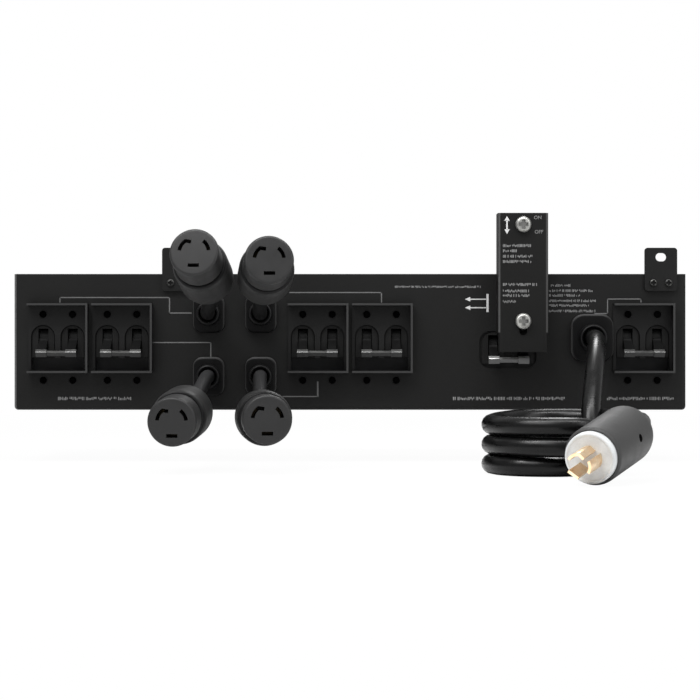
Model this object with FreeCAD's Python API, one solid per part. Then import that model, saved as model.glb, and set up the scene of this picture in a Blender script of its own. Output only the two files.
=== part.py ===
import FreeCAD, Part
import math
import os

from FreeCAD import Placement, Rotation, Vector

# Rack power distribution unit with a maintenance bypass, in millimetres.
# The pieces are laid out in the panel's own frame: X from the panel's left edge, Y from its front face
# (the front looks along -Y) and Z from its bottom edge. Each piece is then moved so that the origin is
# midway between the slots of the two mounting ears, on the plane of the ears' back faces.

# Chassis
panel_width = 435.0
panel_height = 88.0
chassis_depth = 100.0
sheet = 1.5
bend = 2.5
lip = 12.0
seam = 0.3
knockout_diameter = 28.0
knockout_groove = 0.6
knockout_from_right = 135.0
knockout_x = (110.0, panel_width - knockout_from_right)
knockout_z = 50.0

# Mounting ears
ear_from_right = 16.5
ear_x = (106.5, panel_width - ear_from_right)
ear_width = 21.0
ear_bottom = 77.0
ear_top = 104.9
ear_sheet = 2.0
ear_corner = 2.0
ear_slot_z = 98.8
ear_slot_length = 7.0
ear_slot_width = 5.4
ear_screw_spacing = 9.8
ear_screw_z = 82.2

# Small screws: pan heads on the case, cheese heads on the breakers
case_screw_diameter = 3.0
case_screw_head = 4.9
case_screw_head_height = 1.6
case_screw_length = 6.0
breaker_screw_diameter = 3.4
breaker_screw_head = 4.6
breaker_screw_head_height = 1.6
breaker_screw_length = 8.0
screw_rim_share = 0.55
hole_clearance = 0.1
cover_screw_y = (20.0, 55.0, 88.0)
rear_screws_from_right = (155.0, 40.0)
rear_screw_x = (40.0, 160.0, panel_width - rear_screws_from_right[0], panel_width - rear_screws_from_right[1])
rear_screw_z = 7.0

# Breakers: two poles each, on the usual pitch of three quarters of an inch
pole_pitch = 19.05
bypass_from_right = 115.3
input_from_right = 28.2
breaker_x = {"output_1": 28.5, "output_2": 70.0, "output_3": 196.5, "output_4": 237.9,
             "bypass": panel_width - bypass_from_right, "input": panel_width - input_from_right}
pivot_z = 47.25
bypass_pivot_z = 43.0
case_depth = 62.0
case_gap = 0.2
case_above = 19.75
case_below = 33.25
pole_line = 0.6
boss_radius = 7.15
boss_front = 0.2
boss_below = 13.0
band_top = 13.75
band_bottom = 21.65
band_depth = 6.0
slot_above = 5.4
slot_below = 8.2
slot_width = 6.5
hub_clearance = 0.4
trunnion_diameter = 2.5
trunnion_length = 2.0
trunnion_clearance = 0.05
screw_above = 14.55
screw_below = 28.15
terminal_width = 11.0
terminal_height = 9.0
terminal_depth = 9.0

# Handles, drawn level and then turned down to OFF
pivot_depth = 8.0
hub_radius = 5.0
lever_width = 5.5
lever_thickness = 4.0
lever_reach = 17.5
tenon_width = 4.0
tenon_height = 2.2
tenon_length = 2.6
tenon_clearance = 0.15
off_angle = 33.0
tie_width = 26.0
tie_end = 6.9
tie_height = 4.3
tie_depth = 4.0
tie_waist = 2.4
tie_edge = 0.8

# Handle guards: a folded tray with an open left side
guard_sheet = 1.2
guard_left = 19.1
guard_right = 20.0
guard_above = 21.65
guard_below = 23.25
guard_wall = 8.2
guard_wall_sheet = 1.3
guard_bend = 1.0
arch_clearance = 0.6
window_reach = 18.5
window_above = 8.35
bypass_window_above = 8.1
bypass_window_below = 16.0
bypass_corner = 7.0

# Interlock plate: a channel that slides up on a shoulder screw
plate_from_right = 106.7
plate_x = panel_width - plate_from_right
plate_width = 32.3
plate_bottom = 37.5
plate_top = 126.5
plate_flange_bottom = 49.3
plate_stand = 14.5
plate_corner = 3.0
plate_running_gap = 0.3
plate_travel = 6.5
lower_screw_z = 57.2
upper_screw_below_top = 7.4
upper_screw_z = plate_top - upper_screw_below_top
interlock_head = 10.4
interlock_head_height = 3.2
interlock_shank = 4.8
standoff_diameter = 8.0
screw_in_standoff = 8.0
upper_screw_length = 17.0

# Cable glands
pigtail_gland_x = (126.2, 159.9)
pigtail_gland_z = (62.3, 21.8)
pigtail_gland_size = (20.0, 25.0)
pigtail_barrel = 15.0
input_gland_from_right = 61.0
input_gland_x = panel_width - input_gland_from_right
input_gland_z = 46.5
input_gland_size = (27.0, 31.0)
input_barrel = 20.0
gland_proud = 5.0
gland_edge = 1.5
gland_nose = 12.0
nose_radius_at_flange = 2.4
nose_radius_at_tip = 1.7
gland_mouth = 1.1
gland_seat = -4.0
barrel_length = 10.0
locknut_thickness = 4.0
locknut_margin = 3.5

# Pigtail cords: gland to hood, one route for each
pigtail_diameter = 9.0
pigtail_routes = (
    ((126.2, -4, 62.3), (126.2, -17, 62.3), (127.8, -31, 64.8),
     (130.8, -45, 69.8), (132.6, -59, 74.6), (132.0, -72, 78.0)),
    ((159.9, -4, 62.3), (159.9, -17, 62.3), (160.4, -31, 65.0),
     (161.5, -45, 70.8), (162.9, -59, 76.6), (164.3, -72, 79.2)),
    ((126.2, -4, 21.8), (126.2, -17, 21.8), (125.0, -31, 18.4),
     (122.6, -45, 11.6), (120.8, -59, 5.4), (119.8, -72, 2.8)),
    ((159.9, -4, 21.8), (159.9, -17, 21.8), (160.4, -31, 17.4),
     (161.2, -45, 8.8), (161.9, -59, 1.4), (162.6, -72, -1.4)),
)
pigtail_yaw_and_pitch = ((-4.6, 15.5), (5.7, 10.5), (-4.9, -5.1), (6.2, -0.2))

# Locking connectors, measured along their axis from the cord end
hood_radius = 16.5
hood_length = 44.0
hood_sleeve_radius = 8.0
hood_flare = ((8.8, 5.0), (12.5, 9.0), (15.7, 12.0))
hood_shoulder = 16.0
hood_edge = 3.0
stem_radius = 12.0
stem_length = 6.0
stem_clearance = 0.15
face_radius = 14.5
face_length = 22.0
groove_width = 2.0
groove_radius = 12.2
contact_circle = 8.6
contact_slot_width = 2.2
contact_slot_depth = 12.0
contact_height = 4.0
contact_clearance = 0.35
contact_end_angle = 5.0
contact_span = 46.0
hook_length = 3.4
hook_direction = -10.0
bar_inset = 0.6
straight_slot = 6.6

# Input cord: the drop from the gland, the coil and the tail to the plug; the routes' X is from the gland
input_diameter = 11.5
floor_z = -34.0
coil_from_gland = 33.5
coil_x = input_gland_x - coil_from_gland
coil_y = -115.0
coil_radius = 40.0
coil_rows = 3
coil_edge = 3.4
drop_route = ((0.0, -4, 46.5), (0.0, -17, 46.5), (-0.8, -33, 44.6), (-2.6, -48, 39.5), (-5.2, -62, 31.5),
              (-8.0, -75.5, 20.5), (-10.2, -86, 9.0), (-11.4, -93.5, -1.5), (-12.0, -99.0, -11.0),
              (-12.2, -106, -20.0), (-12.5, -116.5, -26.0), (-14.3, -128.5, -28.25), (-21.7, -140.4, -28.25),
              (-33.5, -148.3, -28.25), (-49.3, -148.6, -28.25))
tail_route = ((5.1, -104.6, -5.25), (7.8, -117.0, -5.2), (10.2, -130.0, -4.6), (11.4, -142.0, -3.6),
              (9.6, -153.0, -3.4), (4.0, -165.0, -5.3))

# Plug, measured along its axis from the cord end
plug_axis = (-0.443, -0.8775, -0.186)
plug_radius = 16.5
plug_nose_radius = 16.1
plug_flare = ((10.0, 6.0), (13.5, 9.5), (15.7, 13.0))
plug_shoulder = 17.0
plug_edge = 1.2
plug_sleeve_radius = 7.0
plug_length = 70.5
plug_face_radius = 14.25
plug_face_height = 4.0
blade_circle = 6.3
blade_thickness = 1.6
blade_length = 17.0
blade_seat = 2.0
blade_span = 62.0
blade_turn = -35.0

# Pieces on the chassis floor
terminal_block_size = (34.0, 38.0, 22.0)
terminal_block_place = (112.0, 20.0)
terminal_block_ways = 4
terminal_wall = 2.0
ground_bar_size = (70.0, 10.0, 6.0)
ground_bar_place = (108.0, 62.0)
ground_holes = 6
ground_hole_diameter = 4.0

mount_origin = Vector(sum(ear_x) / 2, 0, ear_slot_z)
OUTPUTS = ("output_1", "output_2", "output_3", "output_4")
GUARDED = OUTPUTS + ("input",)
TOWARDS_FRONT = Vector(0, -1, 0)


def box(x0, x1, y0, y1, z0, z1):
    return Part.makeBox(x1 - x0, y1 - y0, z1 - z0, Vector(x0, y0, z0))


def rod(radius, start, direction, length):
    return Part.makeCylinder(radius, length, Vector(*start), direction)


def fuse(shapes):
    joined = shapes[0].fuse(shapes[1:]) if len(shapes) > 1 else shapes[0]
    return joined.removeSplitter()


def edges_where(shape, test):
    return [edge for edge in shape.Edges if test(edge)]


def straight_along(edge, axis):
    start, end = (v.Point for v in edge.Vertexes[:2]) if len(edge.Vertexes) > 1 else (Vector(), Vector())
    along = end - start
    return along.Length > 0 and abs(abs(along.dot(axis)) - along.Length) < 1e-6


def slab(wire, y_front, y_back):
    """A prism between two Y planes, from a closed wire drawn in the plane Y = 0."""
    face = Part.Face(wire)
    face.translate(Vector(0, y_front, 0))
    return face.extrude(Vector(0, y_back - y_front, 0))


def arch_wire(x, z, radius, below):
    """A round-topped opening: a half circle about (x, z) on straight sides."""
    left, right = Vector(x - radius, 0, z), Vector(x + radius, 0, z)
    top = Vector(x, 0, z + radius)
    low_left, low_right = Vector(x - radius, 0, z - below), Vector(x + radius, 0, z - below)
    return Part.Wire([
        Part.Arc(left, top, right).toShape(),
        Part.LineSegment(right, low_right).toShape(),
        Part.LineSegment(low_right, low_left).toShape(),
        Part.LineSegment(low_left, left).toShape(),
    ])


def obround_wire(x, z, width, height):
    """A tall slot outline: half circles on straight sides, centred on (x, z)."""
    radius, reach = width / 2, (height - width) / 2
    high_left, high_right = Vector(x - radius, 0, z + reach), Vector(x + radius, 0, z + reach)
    low_left, low_right = Vector(x - radius, 0, z - reach), Vector(x + radius, 0, z - reach)
    return Part.Wire([
        Part.Arc(high_left, Vector(x, 0, z + height / 2), high_right).toShape(),
        Part.LineSegment(high_right, low_right).toShape(),
        Part.Arc(low_right, Vector(x, 0, z - height / 2), low_left).toShape(),
        Part.LineSegment(low_left, high_left).toShape(),
    ])


def rounded_wire(x0, x1, z0, z1, radius):
    """A rectangle in X and Z with round corners, as a prism's outline."""
    solid = box(x0, x1, 0, 1, z0, z1)
    solid = solid.makeFillet(radius, edges_where(solid, lambda e: straight_along(e, Vector(0, 1, 0))))
    front = min(solid.Faces, key=lambda face: face.CenterOfMass.y)
    return front.OuterWire


def turned(profile):
    """A solid of revolution about Z from (radius, height) points that start and end on the axis."""
    points = [Vector(radius, 0, height) for radius, height in profile]
    return Part.Face(Part.makePolygon(points + points[:1])).revolve(Vector(), Vector(0, 0, 1), 360)


def aim(shape, place, axis):
    """Turns a solid that was drawn along +Z, X to the right, to look along axis from place."""
    forward = Vector(*axis).normalize()
    across = Vector(0, 0, 1).cross(forward).normalize()
    upward = forward.cross(across)
    turned_there = Placement(Vector(*place), Rotation(across, upward, forward, "ZXY"))
    shape.Placement = turned_there.multiply(shape.Placement)
    return shape


def arc_key(radius, thickness, angle, span, z0, z1):
    """A curved bar on a circle about Z, centred on an angle, from z0 to z1."""
    low = angle - span / 2
    outer = Part.makeCylinder(radius + thickness / 2, z1 - z0, Vector(0, 0, z0), Vector(0, 0, 1), span)
    inner = Part.makeCylinder(radius - thickness / 2, z1 - z0, Vector(0, 0, z0))
    bar = outer.cut(inner)
    bar.rotate(Vector(), Vector(0, 0, 1), low)
    return bar


def contact_keys(radius, thickness, span, straight, hook, z0, z1):
    """The three keys of a locking connector: one hooked, one curved and one straight."""
    hook_angle = math.radians(150 - span / 2)
    hooked = arc_key(radius, thickness, 150, span, z0, z1)
    tip = Part.makeBox(hook, thickness, z1 - z0, Vector(0, -thickness / 2, z0))
    tip.rotate(Vector(), Vector(0, 0, 1), hook_direction)
    tip.translate(Vector(radius * math.cos(hook_angle), radius * math.sin(hook_angle), 0))
    curved = arc_key(radius, thickness, 30, span, z0, z1)
    bar = Part.makeBox(straight, thickness, z1 - z0,
                       Vector(-straight / 2, bar_inset - radius - thickness / 2, z0))
    return [fuse([hooked, tip]), curved, bar]


def cord_tube(name, route, diameter):
    """A round cord along straight runs joined by tangent arcs, each as large as its runs allow."""
    points = [Vector(*p) for p in route]
    edges, radii, reached = [], [], points[0]
    for before, corner, after in zip(points, points[1:], points[2:]):
        into, out = (corner - before), (after - corner)
        shorter = min(into.Length, out.Length)
        half_turn = into.getAngle(out) / 2
        into.normalize()
        out.normalize()
        cut_back = 0.45 * shorter
        radii.append(cut_back / math.tan(half_turn))
        start, end = corner - into * cut_back, corner + out * cut_back
        inwards = (out - into).normalize()
        middle = corner + inwards * (radii[-1] / math.cos(half_turn) - radii[-1])
        edges.append(Part.LineSegment(reached, start).toShape())
        edges.append(Part.Arc(start, middle, end).toShape())
        reached = end
    edges.append(Part.LineSegment(reached, points[-1]).toShape())
    path = Part.Wire(edges)
    section = Part.Wire(Part.makeCircle(diameter / 2, points[0], points[1] - points[0]))
    tube = path.makePipeShell([section], True, False)
    expected = math.pi * diameter ** 2 / 4 * path.Length
    print(name, "length", round(path.Length, 1), "radii", [round(r) for r in radii],
          "volume share", round(tube.Volume / expected, 4))
    return tube


def save(name, shape):
    moved = shape.copy()
    moved.translate(mount_origin * -1)
    moved.exportStep(f"parts/{name}.step")


def pivot_height(name):
    return bypass_pivot_z if name == "bypass" else pivot_z


def pole_centres(name):
    return [breaker_x[name] - pole_pitch / 2, breaker_x[name] + pole_pitch / 2]


def breaker_screw_places(name):
    return [(x, pivot_height(name) + dz) for x in pole_centres(name) for dz in (screw_above, -screw_below)]


def breaker_window(name, y_front, y_back):
    """The guard's two arches and the band below them, as a cutting prism."""
    z = pivot_height(name)
    radius = boss_radius + arch_clearance
    arches = [slab(arch_wire(x, z, radius, band_bottom), y_front, y_back) for x in pole_centres(name)]
    reach = pole_pitch / 2 + radius
    band = box(breaker_x[name] - reach, breaker_x[name] + reach, y_front, y_back,
               z - band_bottom, z - band_top)
    return fuse(arches + [band])


def ear_screw_places():
    return [(x + side * ear_screw_spacing / 2, ear_screw_z) for x in ear_x for side in (-1, 1)]


def cover_screw_places():
    """Side screws as (seat, inwards) pairs: the same three heights of Y on the left and on the right."""
    z = panel_height - sheet - lip / 2
    sides = ((0, Vector(1, 0, 0)), (panel_width, Vector(-1, 0, 0)))
    return [((x, y, z), inwards) for x, inwards in sides for y in cover_screw_y]


def rear_screw_places():
    return [((x, chassis_depth, rear_screw_z), TOWARDS_FRONT) for x in rear_screw_x]


def screw_hole(seat, inwards, diameter, length):
    """A clearance hole for a screw, starting a little outside its seat."""
    return Part.makeCylinder(diameter / 2 + hole_clearance, length + 1, Vector(*seat) - inwards, inwards)


def chassis_tray():
    """Front, floor and sides folded from one sheet, with a lip at the rear and a saddle for the bypass."""
    outer = box(0, panel_width, 0, chassis_depth, 0, panel_height)
    folds = edges_where(outer, lambda e: (
        (e.CenterOfMass.y < 1e-6 and e.CenterOfMass.z < panel_height - 1e-6)
        or (e.CenterOfMass.z < 1e-6 and straight_along(e, Vector(0, 1, 0)))))
    outer = outer.makeFillet(bend, folds)
    inner = box(sheet, panel_width - sheet, sheet, chassis_depth + 1, sheet, panel_height + 1)
    rear_lip = box(sheet, panel_width - sheet, chassis_depth - 2 * sheet, chassis_depth - sheet, sheet, lip)
    x, floor = breaker_x["bypass"], bypass_pivot_z - case_below
    half, back = pole_pitch - 2 * sheet, sheet + case_depth
    saddle = [box(x - half, x + half, 2 * lip, back + sheet, floor - sheet, floor),
              box(x - half, x - half + sheet, 2 * lip, back + sheet, sheet, floor),
              box(x + half - sheet, x + half, 2 * lip, back + sheet, sheet, floor),
              box(x - half, x + half, back, back + sheet, floor - sheet, bypass_pivot_z)]
    tray = fuse([outer.cut(inner), rear_lip] + saddle)
    through = sheet + 1
    cuts = [box(breaker_x[name] - window_reach, breaker_x[name] + window_reach, -1, through,
                pivot_z - band_bottom, pivot_z + window_above) for name in GUARDED]
    cuts.append(slab(rounded_wire(breaker_x["bypass"] - window_reach, breaker_x["bypass"] + window_reach,
                                  bypass_pivot_z - bypass_window_below, bypass_pivot_z + bypass_window_above,
                                  bypass_corner), -1, through))
    inwards = Vector(0, 1, 0)
    for name in GUARDED:
        cuts += [screw_hole((x, 0, z), inwards, breaker_screw_diameter, through)
                 for x, z in breaker_screw_places(name)]
    cuts += [screw_hole((x, 0, z), inwards, case_screw_diameter, through) for x, z in ear_screw_places()]
    cuts += [screw_hole(seat, along, case_screw_diameter, through) for seat, along in cover_screw_places()]
    cuts += [screw_hole(seat, along, case_screw_diameter, 2 * through)
             for seat, along in rear_screw_places()]
    cuts += [screw_hole((x, 0, z), inwards, pigtail_barrel, through)
             for x in pigtail_gland_x for z in pigtail_gland_z]
    cuts.append(screw_hole((input_gland_x, 0, input_gland_z), inwards, input_barrel, through))
    cuts.append(rod(interlock_shank / 2, (plate_x, -1, lower_screw_z), inwards, through + 1))
    return tray.cut(cuts)


def top_cover():
    """Top, rear wall and two side flanges folded from one sheet, flush inside the tray."""
    left, right, rear = sheet, panel_width - sheet, chassis_depth
    outer = box(left, right, sheet + seam, rear, sheet, panel_height)
    folds = edges_where(outer, lambda e: (
        e.CenterOfMass.z > panel_height - 1e-6 and e.CenterOfMass.y > sheet + 1))
    outer = outer.makeFillet(bend, folds)
    inside = box(left + sheet, right - sheet, 0, rear - sheet, 0, panel_height - sheet)
    below = box(left - 1, right + 1, 0, rear - sheet, 0, panel_height - sheet - lip)
    cover = outer.cut([inside, below])
    depth = 3 * sheet
    cuts = [screw_hole(seat, along, case_screw_diameter, depth) for seat, along in cover_screw_places()]
    cuts += [screw_hole(seat, along, case_screw_diameter, depth) for seat, along in rear_screw_places()]
    for x in knockout_x:
        ring = rod(knockout_diameter / 2, (x, rear - knockout_groove, knockout_z), Vector(0, 1, 0), 1)
        cuts.append(ring.cut(rod(knockout_diameter / 2 - knockout_groove, (x, rear - 1, knockout_z),
                                 Vector(0, 1, 0), 3)))
    return cover.cut(cuts)


def mounting_ear(x):
    plate = box(x - ear_width / 2, x + ear_width / 2, -ear_sheet, 0, ear_bottom, ear_top)
    plate = plate.makeFillet(ear_corner, edges_where(plate, lambda e: straight_along(e, Vector(0, 1, 0))))
    straight, radius = (ear_slot_length - ear_slot_width) / 2, ear_slot_width / 2
    front, through, inwards = -ear_sheet - 1, ear_sheet + 2, Vector(0, 1, 0)
    slot = fuse([rod(radius, (x - straight, front, ear_slot_z), inwards, through),
                 rod(radius, (x + straight, front, ear_slot_z), inwards, through),
                 box(x - straight, x + straight, front, 1, ear_slot_z - radius, ear_slot_z + radius)])
    holes = [screw_hole((sx, -ear_sheet, sz), inwards, case_screw_diameter, through)
             for sx, sz in ear_screw_places() if abs(sx - x) < ear_width]
    return plate.cut([slot] + holes)


def pan_screw(seat, inwards, diameter, head, head_height, length):
    """A screw whose head stands on the point seat and whose shank runs along inwards."""
    rim = head_height * screw_rim_share
    outwards, base = inwards * -1, Vector(*seat)
    cap = Part.makeCylinder(head / 2, rim, base, outwards)
    rise = head_height - rim
    dome = Part.makeCone(head / 2, head / 2 - rise, rise, base + outwards * rim, outwards)
    return fuse([cap, dome, Part.makeCylinder(diameter / 2, length, base, inwards)])


def case_screws():
    sizes = (case_screw_diameter, case_screw_head, case_screw_head_height, case_screw_length)
    screws = [pan_screw((x, -ear_sheet, z), Vector(0, 1, 0), *sizes) for x, z in ear_screw_places()]
    screws += [pan_screw(seat, along, *sizes) for seat, along in cover_screw_places() + rear_screw_places()]
    return Part.makeCompound(screws)


def breaker_case(name):
    """Two moulded poles side by side, with round-topped bosses behind the arches of the guard."""
    x, z = breaker_x[name], pivot_height(name)
    half, front, back = pole_pitch - case_gap, sheet, sheet + case_depth
    body = box(x - half, x + half, front, back, z - case_below, z + case_above)
    bosses = [slab(arch_wire(px, z, boss_radius, boss_below), boss_front, front + 1)
              for px in pole_centres(name)]
    terminals = [box(px - terminal_width / 2, px + terminal_width / 2, back, back + terminal_depth, tz,
                     tz + terminal_height)
                 for px in pole_centres(name) if name != "bypass"
                 for tz in (z - case_below + terminal_height, z + case_above - 2 * terminal_height)]
    case = fuse([body] + bosses + terminals)
    cuts, across = [], Vector(1, 0, 0)
    for px in pole_centres(name):
        left = px - slot_width / 2
        cuts.append(box(left, left + slot_width, 0, pivot_depth, z - slot_below, z + slot_above))
        cuts.append(rod(hub_radius + hub_clearance, (left, pivot_depth, z), across, slot_width))
        bore = lever_width + 2 * trunnion_length + 2 * hub_clearance
        bore_radius = trunnion_diameter / 2 + trunnion_clearance
        cuts.append(rod(bore_radius, (px - bore / 2, pivot_depth, z), across, bore))
    line = pole_line / 2
    cuts += [box(x - line, x + line, front, back, z + case_above - pole_line, z + case_above),
             box(x - line, x + line, back - pole_line, back, z - case_below, z + case_above)]
    if name in GUARDED:
        reach = half - sheet
        cuts.append(box(x - reach, x + reach, 0, front + band_depth, z - band_bottom, z - band_top))
        cuts += [screw_hole((sx, front, sz), Vector(0, 1, 0), breaker_screw_diameter, breaker_screw_length)
                 for sx, sz in breaker_screw_places(name)]
    return case.cut(cuts)


def turn_to_off(shape, name):
    shape.rotate(Vector(breaker_x[name], pivot_depth, pivot_height(name)), Vector(1, 0, 0), off_angle)
    return shape


def breaker_toggles(name):
    """Two levers on round hubs with trunnions, drawn level and turned down about the pivot."""
    z, levers, across = pivot_height(name), [], Vector(1, 0, 0)
    shoulder = pivot_depth - lever_reach
    for x in pole_centres(name):
        half, axle = lever_width / 2, lever_width + 2 * trunnion_length
        hub = rod(hub_radius, (x - half, pivot_depth, z), across, lever_width)
        trunnions = rod(trunnion_diameter / 2, (x - axle / 2, pivot_depth, z), across, axle)
        arm = box(x - half, x + half, shoulder, pivot_depth,
                  z - lever_thickness / 2, z + lever_thickness / 2)
        tenon = box(x - tenon_width / 2, x + tenon_width / 2, shoulder - tenon_length, shoulder,
                    z - tenon_height / 2, z + tenon_height / 2)
        levers.append(fuse([hub, trunnions, arm, tenon]))
    return turn_to_off(Part.makeCompound(levers), name)


def tie_bar(name):
    """A bright bar across the lever tips: two blocks on a thinner waist, with pockets for the tenons."""
    x, z = breaker_x[name], pivot_height(name)
    back = pivot_depth - lever_reach
    front, half = back - tie_depth, tie_width / 2
    ends = [box(x - half, x - half + tie_end, front, back, z - tie_height / 2, z + tie_height / 2),
            box(x + half - tie_end, x + half, front, back, z - tie_height / 2, z + tie_height / 2)]
    ends = [end.makeFillet(tie_edge, edges_where(end, lambda e: straight_along(e, Vector(1, 0, 0))))
            for end in ends]
    waist = box(x - half + tie_end / 2, x + half - tie_end / 2, front + tie_edge, back - tie_edge,
                z - tie_waist / 2, z + tie_waist / 2)
    wide, tall = tenon_width / 2 + tenon_clearance, tenon_height / 2 + tenon_clearance
    pockets = [box(px - wide, px + wide, back - tenon_length - tenon_clearance, back + 1, z - tall, z + tall)
               for px in pole_centres(name)]
    return turn_to_off(fuse(ends + [waist]).cut(pockets), name)


def breaker_screws():
    sizes = (breaker_screw_diameter, breaker_screw_head, breaker_screw_head_height, breaker_screw_length)
    screws = []
    for name in GUARDED:
        for x, z in breaker_screw_places(name):
            under_guard = z > pivot_height(name)
            screws.append(pan_screw((x, -guard_sheet if under_guard else 0, z), Vector(0, 1, 0), *sizes))
    return Part.makeCompound(screws)


def handle_guard(name):
    """A folded sheet round one breaker: a base with the arches and three walls, open on the left."""
    x, z = breaker_x[name], pivot_height(name)
    left, right = x - guard_left, x + guard_right
    low, high = z - guard_below, z + guard_above
    outer = box(left, right, -guard_wall, 0, low, high)
    folds = edges_where(outer, lambda e: e.CenterOfMass.y > -1e-6 and e.CenterOfMass.x > left + 1e-6)
    outer = outer.makeFillet(guard_bend, folds)
    hollow = box(left - 1, right - guard_wall_sheet, -guard_wall - 1, -guard_sheet, low + guard_wall_sheet,
                 high - guard_wall_sheet)
    cuts = [hollow, breaker_window(name, -guard_sheet - 1, 1)]
    cuts += [screw_hole((sx, -guard_sheet, sz), Vector(0, 1, 0), breaker_screw_diameter, guard_sheet + 1)
             for sx, sz in breaker_screw_places(name) if sz > z]
    return outer.cut(cuts)


def interlock_plate():
    """A channel with a plain tongue below its flanges, a slot for the shoulder screw and a captive screw."""
    left, right = plate_x - plate_width / 2, plate_x + plate_width / 2
    front, back = -plate_stand - sheet, -plate_running_gap
    outer = box(left, right, front, back, plate_bottom, plate_top)
    folds = edges_where(outer, lambda e: (
        straight_along(e, Vector(0, 0, 1)) and e.CenterOfMass.y < front + 1e-6))
    outer = outer.makeFillet(bend, folds)
    hollow = box(left + sheet, right - sheet, -plate_stand, 1, plate_bottom - 1, plate_top + 1)
    below = box(left - 1, right + 1, -plate_stand, 1, plate_bottom - 1, plate_flange_bottom)
    radius = interlock_shank / 2 + hole_clearance
    slot = fuse([rod(radius, (plate_x, front - 1, lower_screw_z), Vector(0, 1, 0), 3 * sheet),
                 rod(radius, (plate_x, front - 1, lower_screw_z - plate_travel), Vector(0, 1, 0),
                     3 * sheet),
                 box(plate_x - radius, plate_x + radius, front - 1, -plate_stand + 1,
                     lower_screw_z - plate_travel, lower_screw_z)])
    hole = rod(radius, (plate_x, front - 1, upper_screw_z), Vector(0, 1, 0), 3 * sheet)
    return outer.cut([hollow, below, slot, hole])


def interlock_screw(seat_y, z, length):
    sizes = (interlock_shank, interlock_head, interlock_head_height, length)
    return pan_screw((plate_x, seat_y, z), Vector(0, 1, 0), *sizes)


def interlock_lower_screw():
    """A shoulder screw whose head clears the plate, seated in the standoff."""
    seat = -plate_stand - sheet - plate_running_gap
    length = sheet + 2 * plate_running_gap + screw_in_standoff
    return interlock_screw(seat, lower_screw_z, length)


def interlock_standoff():
    """A round post pressed into the panel, with a blind hole for the shoulder screw."""
    front = -plate_stand + plate_running_gap
    post = rod(standoff_diameter / 2, (plate_x, front, lower_screw_z), Vector(0, 1, 0), -front)
    stem = rod(interlock_shank / 2, (plate_x, 0, lower_screw_z), Vector(0, 1, 0), sheet)
    hole = rod(interlock_shank / 2 + hole_clearance, (plate_x, front, lower_screw_z), Vector(0, 1, 0),
               screw_in_standoff)
    return fuse([post, stem]).cut(hole)


def gland(x, z, size, barrel, cord_diameter):
    """A strain relief: a slot-shaped flange, a tapered nose, a barrel through the panel and a deep mouth."""
    flange = slab(obround_wire(x, z, *size), -gland_proud, 0)
    rim = edges_where(flange, lambda e: e.BoundBox.YMax < -gland_proud + 1e-6)
    flange = flange.makeChamfer(gland_edge, rim)
    mouth_radius = cord_diameter / 2 + gland_mouth
    nose = Part.makeCone(mouth_radius + nose_radius_at_flange, mouth_radius + nose_radius_at_tip,
                         gland_nose - gland_proud, Vector(x, -gland_proud, z), TOWARDS_FRONT)
    body = fuse([flange, nose, rod(barrel / 2, (x, 0, z), Vector(0, 1, 0), barrel_length)])
    mouth = rod(mouth_radius, (x, -gland_nose - 1, z), Vector(0, 1, 0), gland_nose + 1 + gland_seat)
    return body.cut(mouth)


def locknut(x, z, barrel):
    across = barrel / 2 + locknut_margin
    turns = [math.radians(60 * k) for k in range(7)]
    corners = [Vector(x + across * math.cos(turn), sheet, z + across * math.sin(turn)) for turn in turns]
    nut = Part.Face(Part.makePolygon(corners)).extrude(Vector(0, locknut_thickness, 0))
    return nut.cut(rod(barrel / 2 + hole_clearance, (x, 0, z), Vector(0, 1, 0), barrel_length))


def connector_hood():
    hood = turned([(0, 0), (hood_sleeve_radius, 0), *hood_flare, (hood_radius, hood_shoulder),
                   (hood_radius, hood_length - hood_edge), (hood_radius - hood_edge / 3, hood_length),
                   (0, hood_length)])
    return hood.cut(Part.makeCylinder(stem_radius + stem_clearance, stem_length,
                                      Vector(0, 0, hood_length - stem_length)))


def connector_face():
    """The front of a connector: a stem in the hood, a neck that shows as a groove and the slotted face."""
    stem, start, top = hood_length - stem_length, hood_length, hood_length + face_length
    body = turned([(0, stem), (stem_radius, stem), (stem_radius, start), (groove_radius, start),
                   (groove_radius, start + groove_width), (face_radius - 0.5, start + groove_width),
                   (face_radius, start + groove_width + 0.5), (face_radius, top - 1), (face_radius - 1, top),
                   (0, top)])
    keys = contact_keys(contact_circle, contact_slot_width, contact_span, straight_slot, hook_length,
                        top - contact_slot_depth, top + 1)
    return body.cut(keys)


def connector_contact_set():
    """The contacts at the bottom of a connector's slots, clear of the slots' walls."""
    bottom = hood_length + face_length - contact_slot_depth
    top, thickness = bottom + contact_height, contact_slot_width - 2 * contact_clearance
    span, straight = contact_span - 2 * contact_end_angle, straight_slot - 2 * contact_clearance
    arcs = [arc_key(contact_circle, thickness, angle, span, bottom, top) for angle in (150, 30)]
    corner = Vector(-straight / 2, bar_inset - contact_circle - thickness / 2, bottom)
    return arcs + [Part.makeBox(straight, thickness, contact_height, corner)]


def coil_solid():
    """The outer shape of the coil: a ring as high as its rows, with broken edges."""
    half = input_diameter / 2
    ring = Part.makeCylinder(coil_radius + half, coil_rows * input_diameter, Vector(coil_x, coil_y, floor_z))
    ring = ring.cut(Part.makeCylinder(coil_radius - half, coil_rows * input_diameter,
                                      Vector(coil_x, coil_y, floor_z)))
    return ring.makeChamfer(coil_edge, edges_where(ring, lambda e: e.Closed))


def plug_body():
    body = turned([(0, 0), (plug_sleeve_radius, 0), *plug_flare, (plug_radius, plug_shoulder),
                   (plug_nose_radius, plug_length - plug_edge), (plug_nose_radius - plug_edge, plug_length),
                   (0, plug_length)])
    recess = Part.makeCylinder(plug_face_radius + stem_clearance, blade_seat,
                               Vector(0, 0, plug_length - blade_seat))
    return body.cut(recess)


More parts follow.
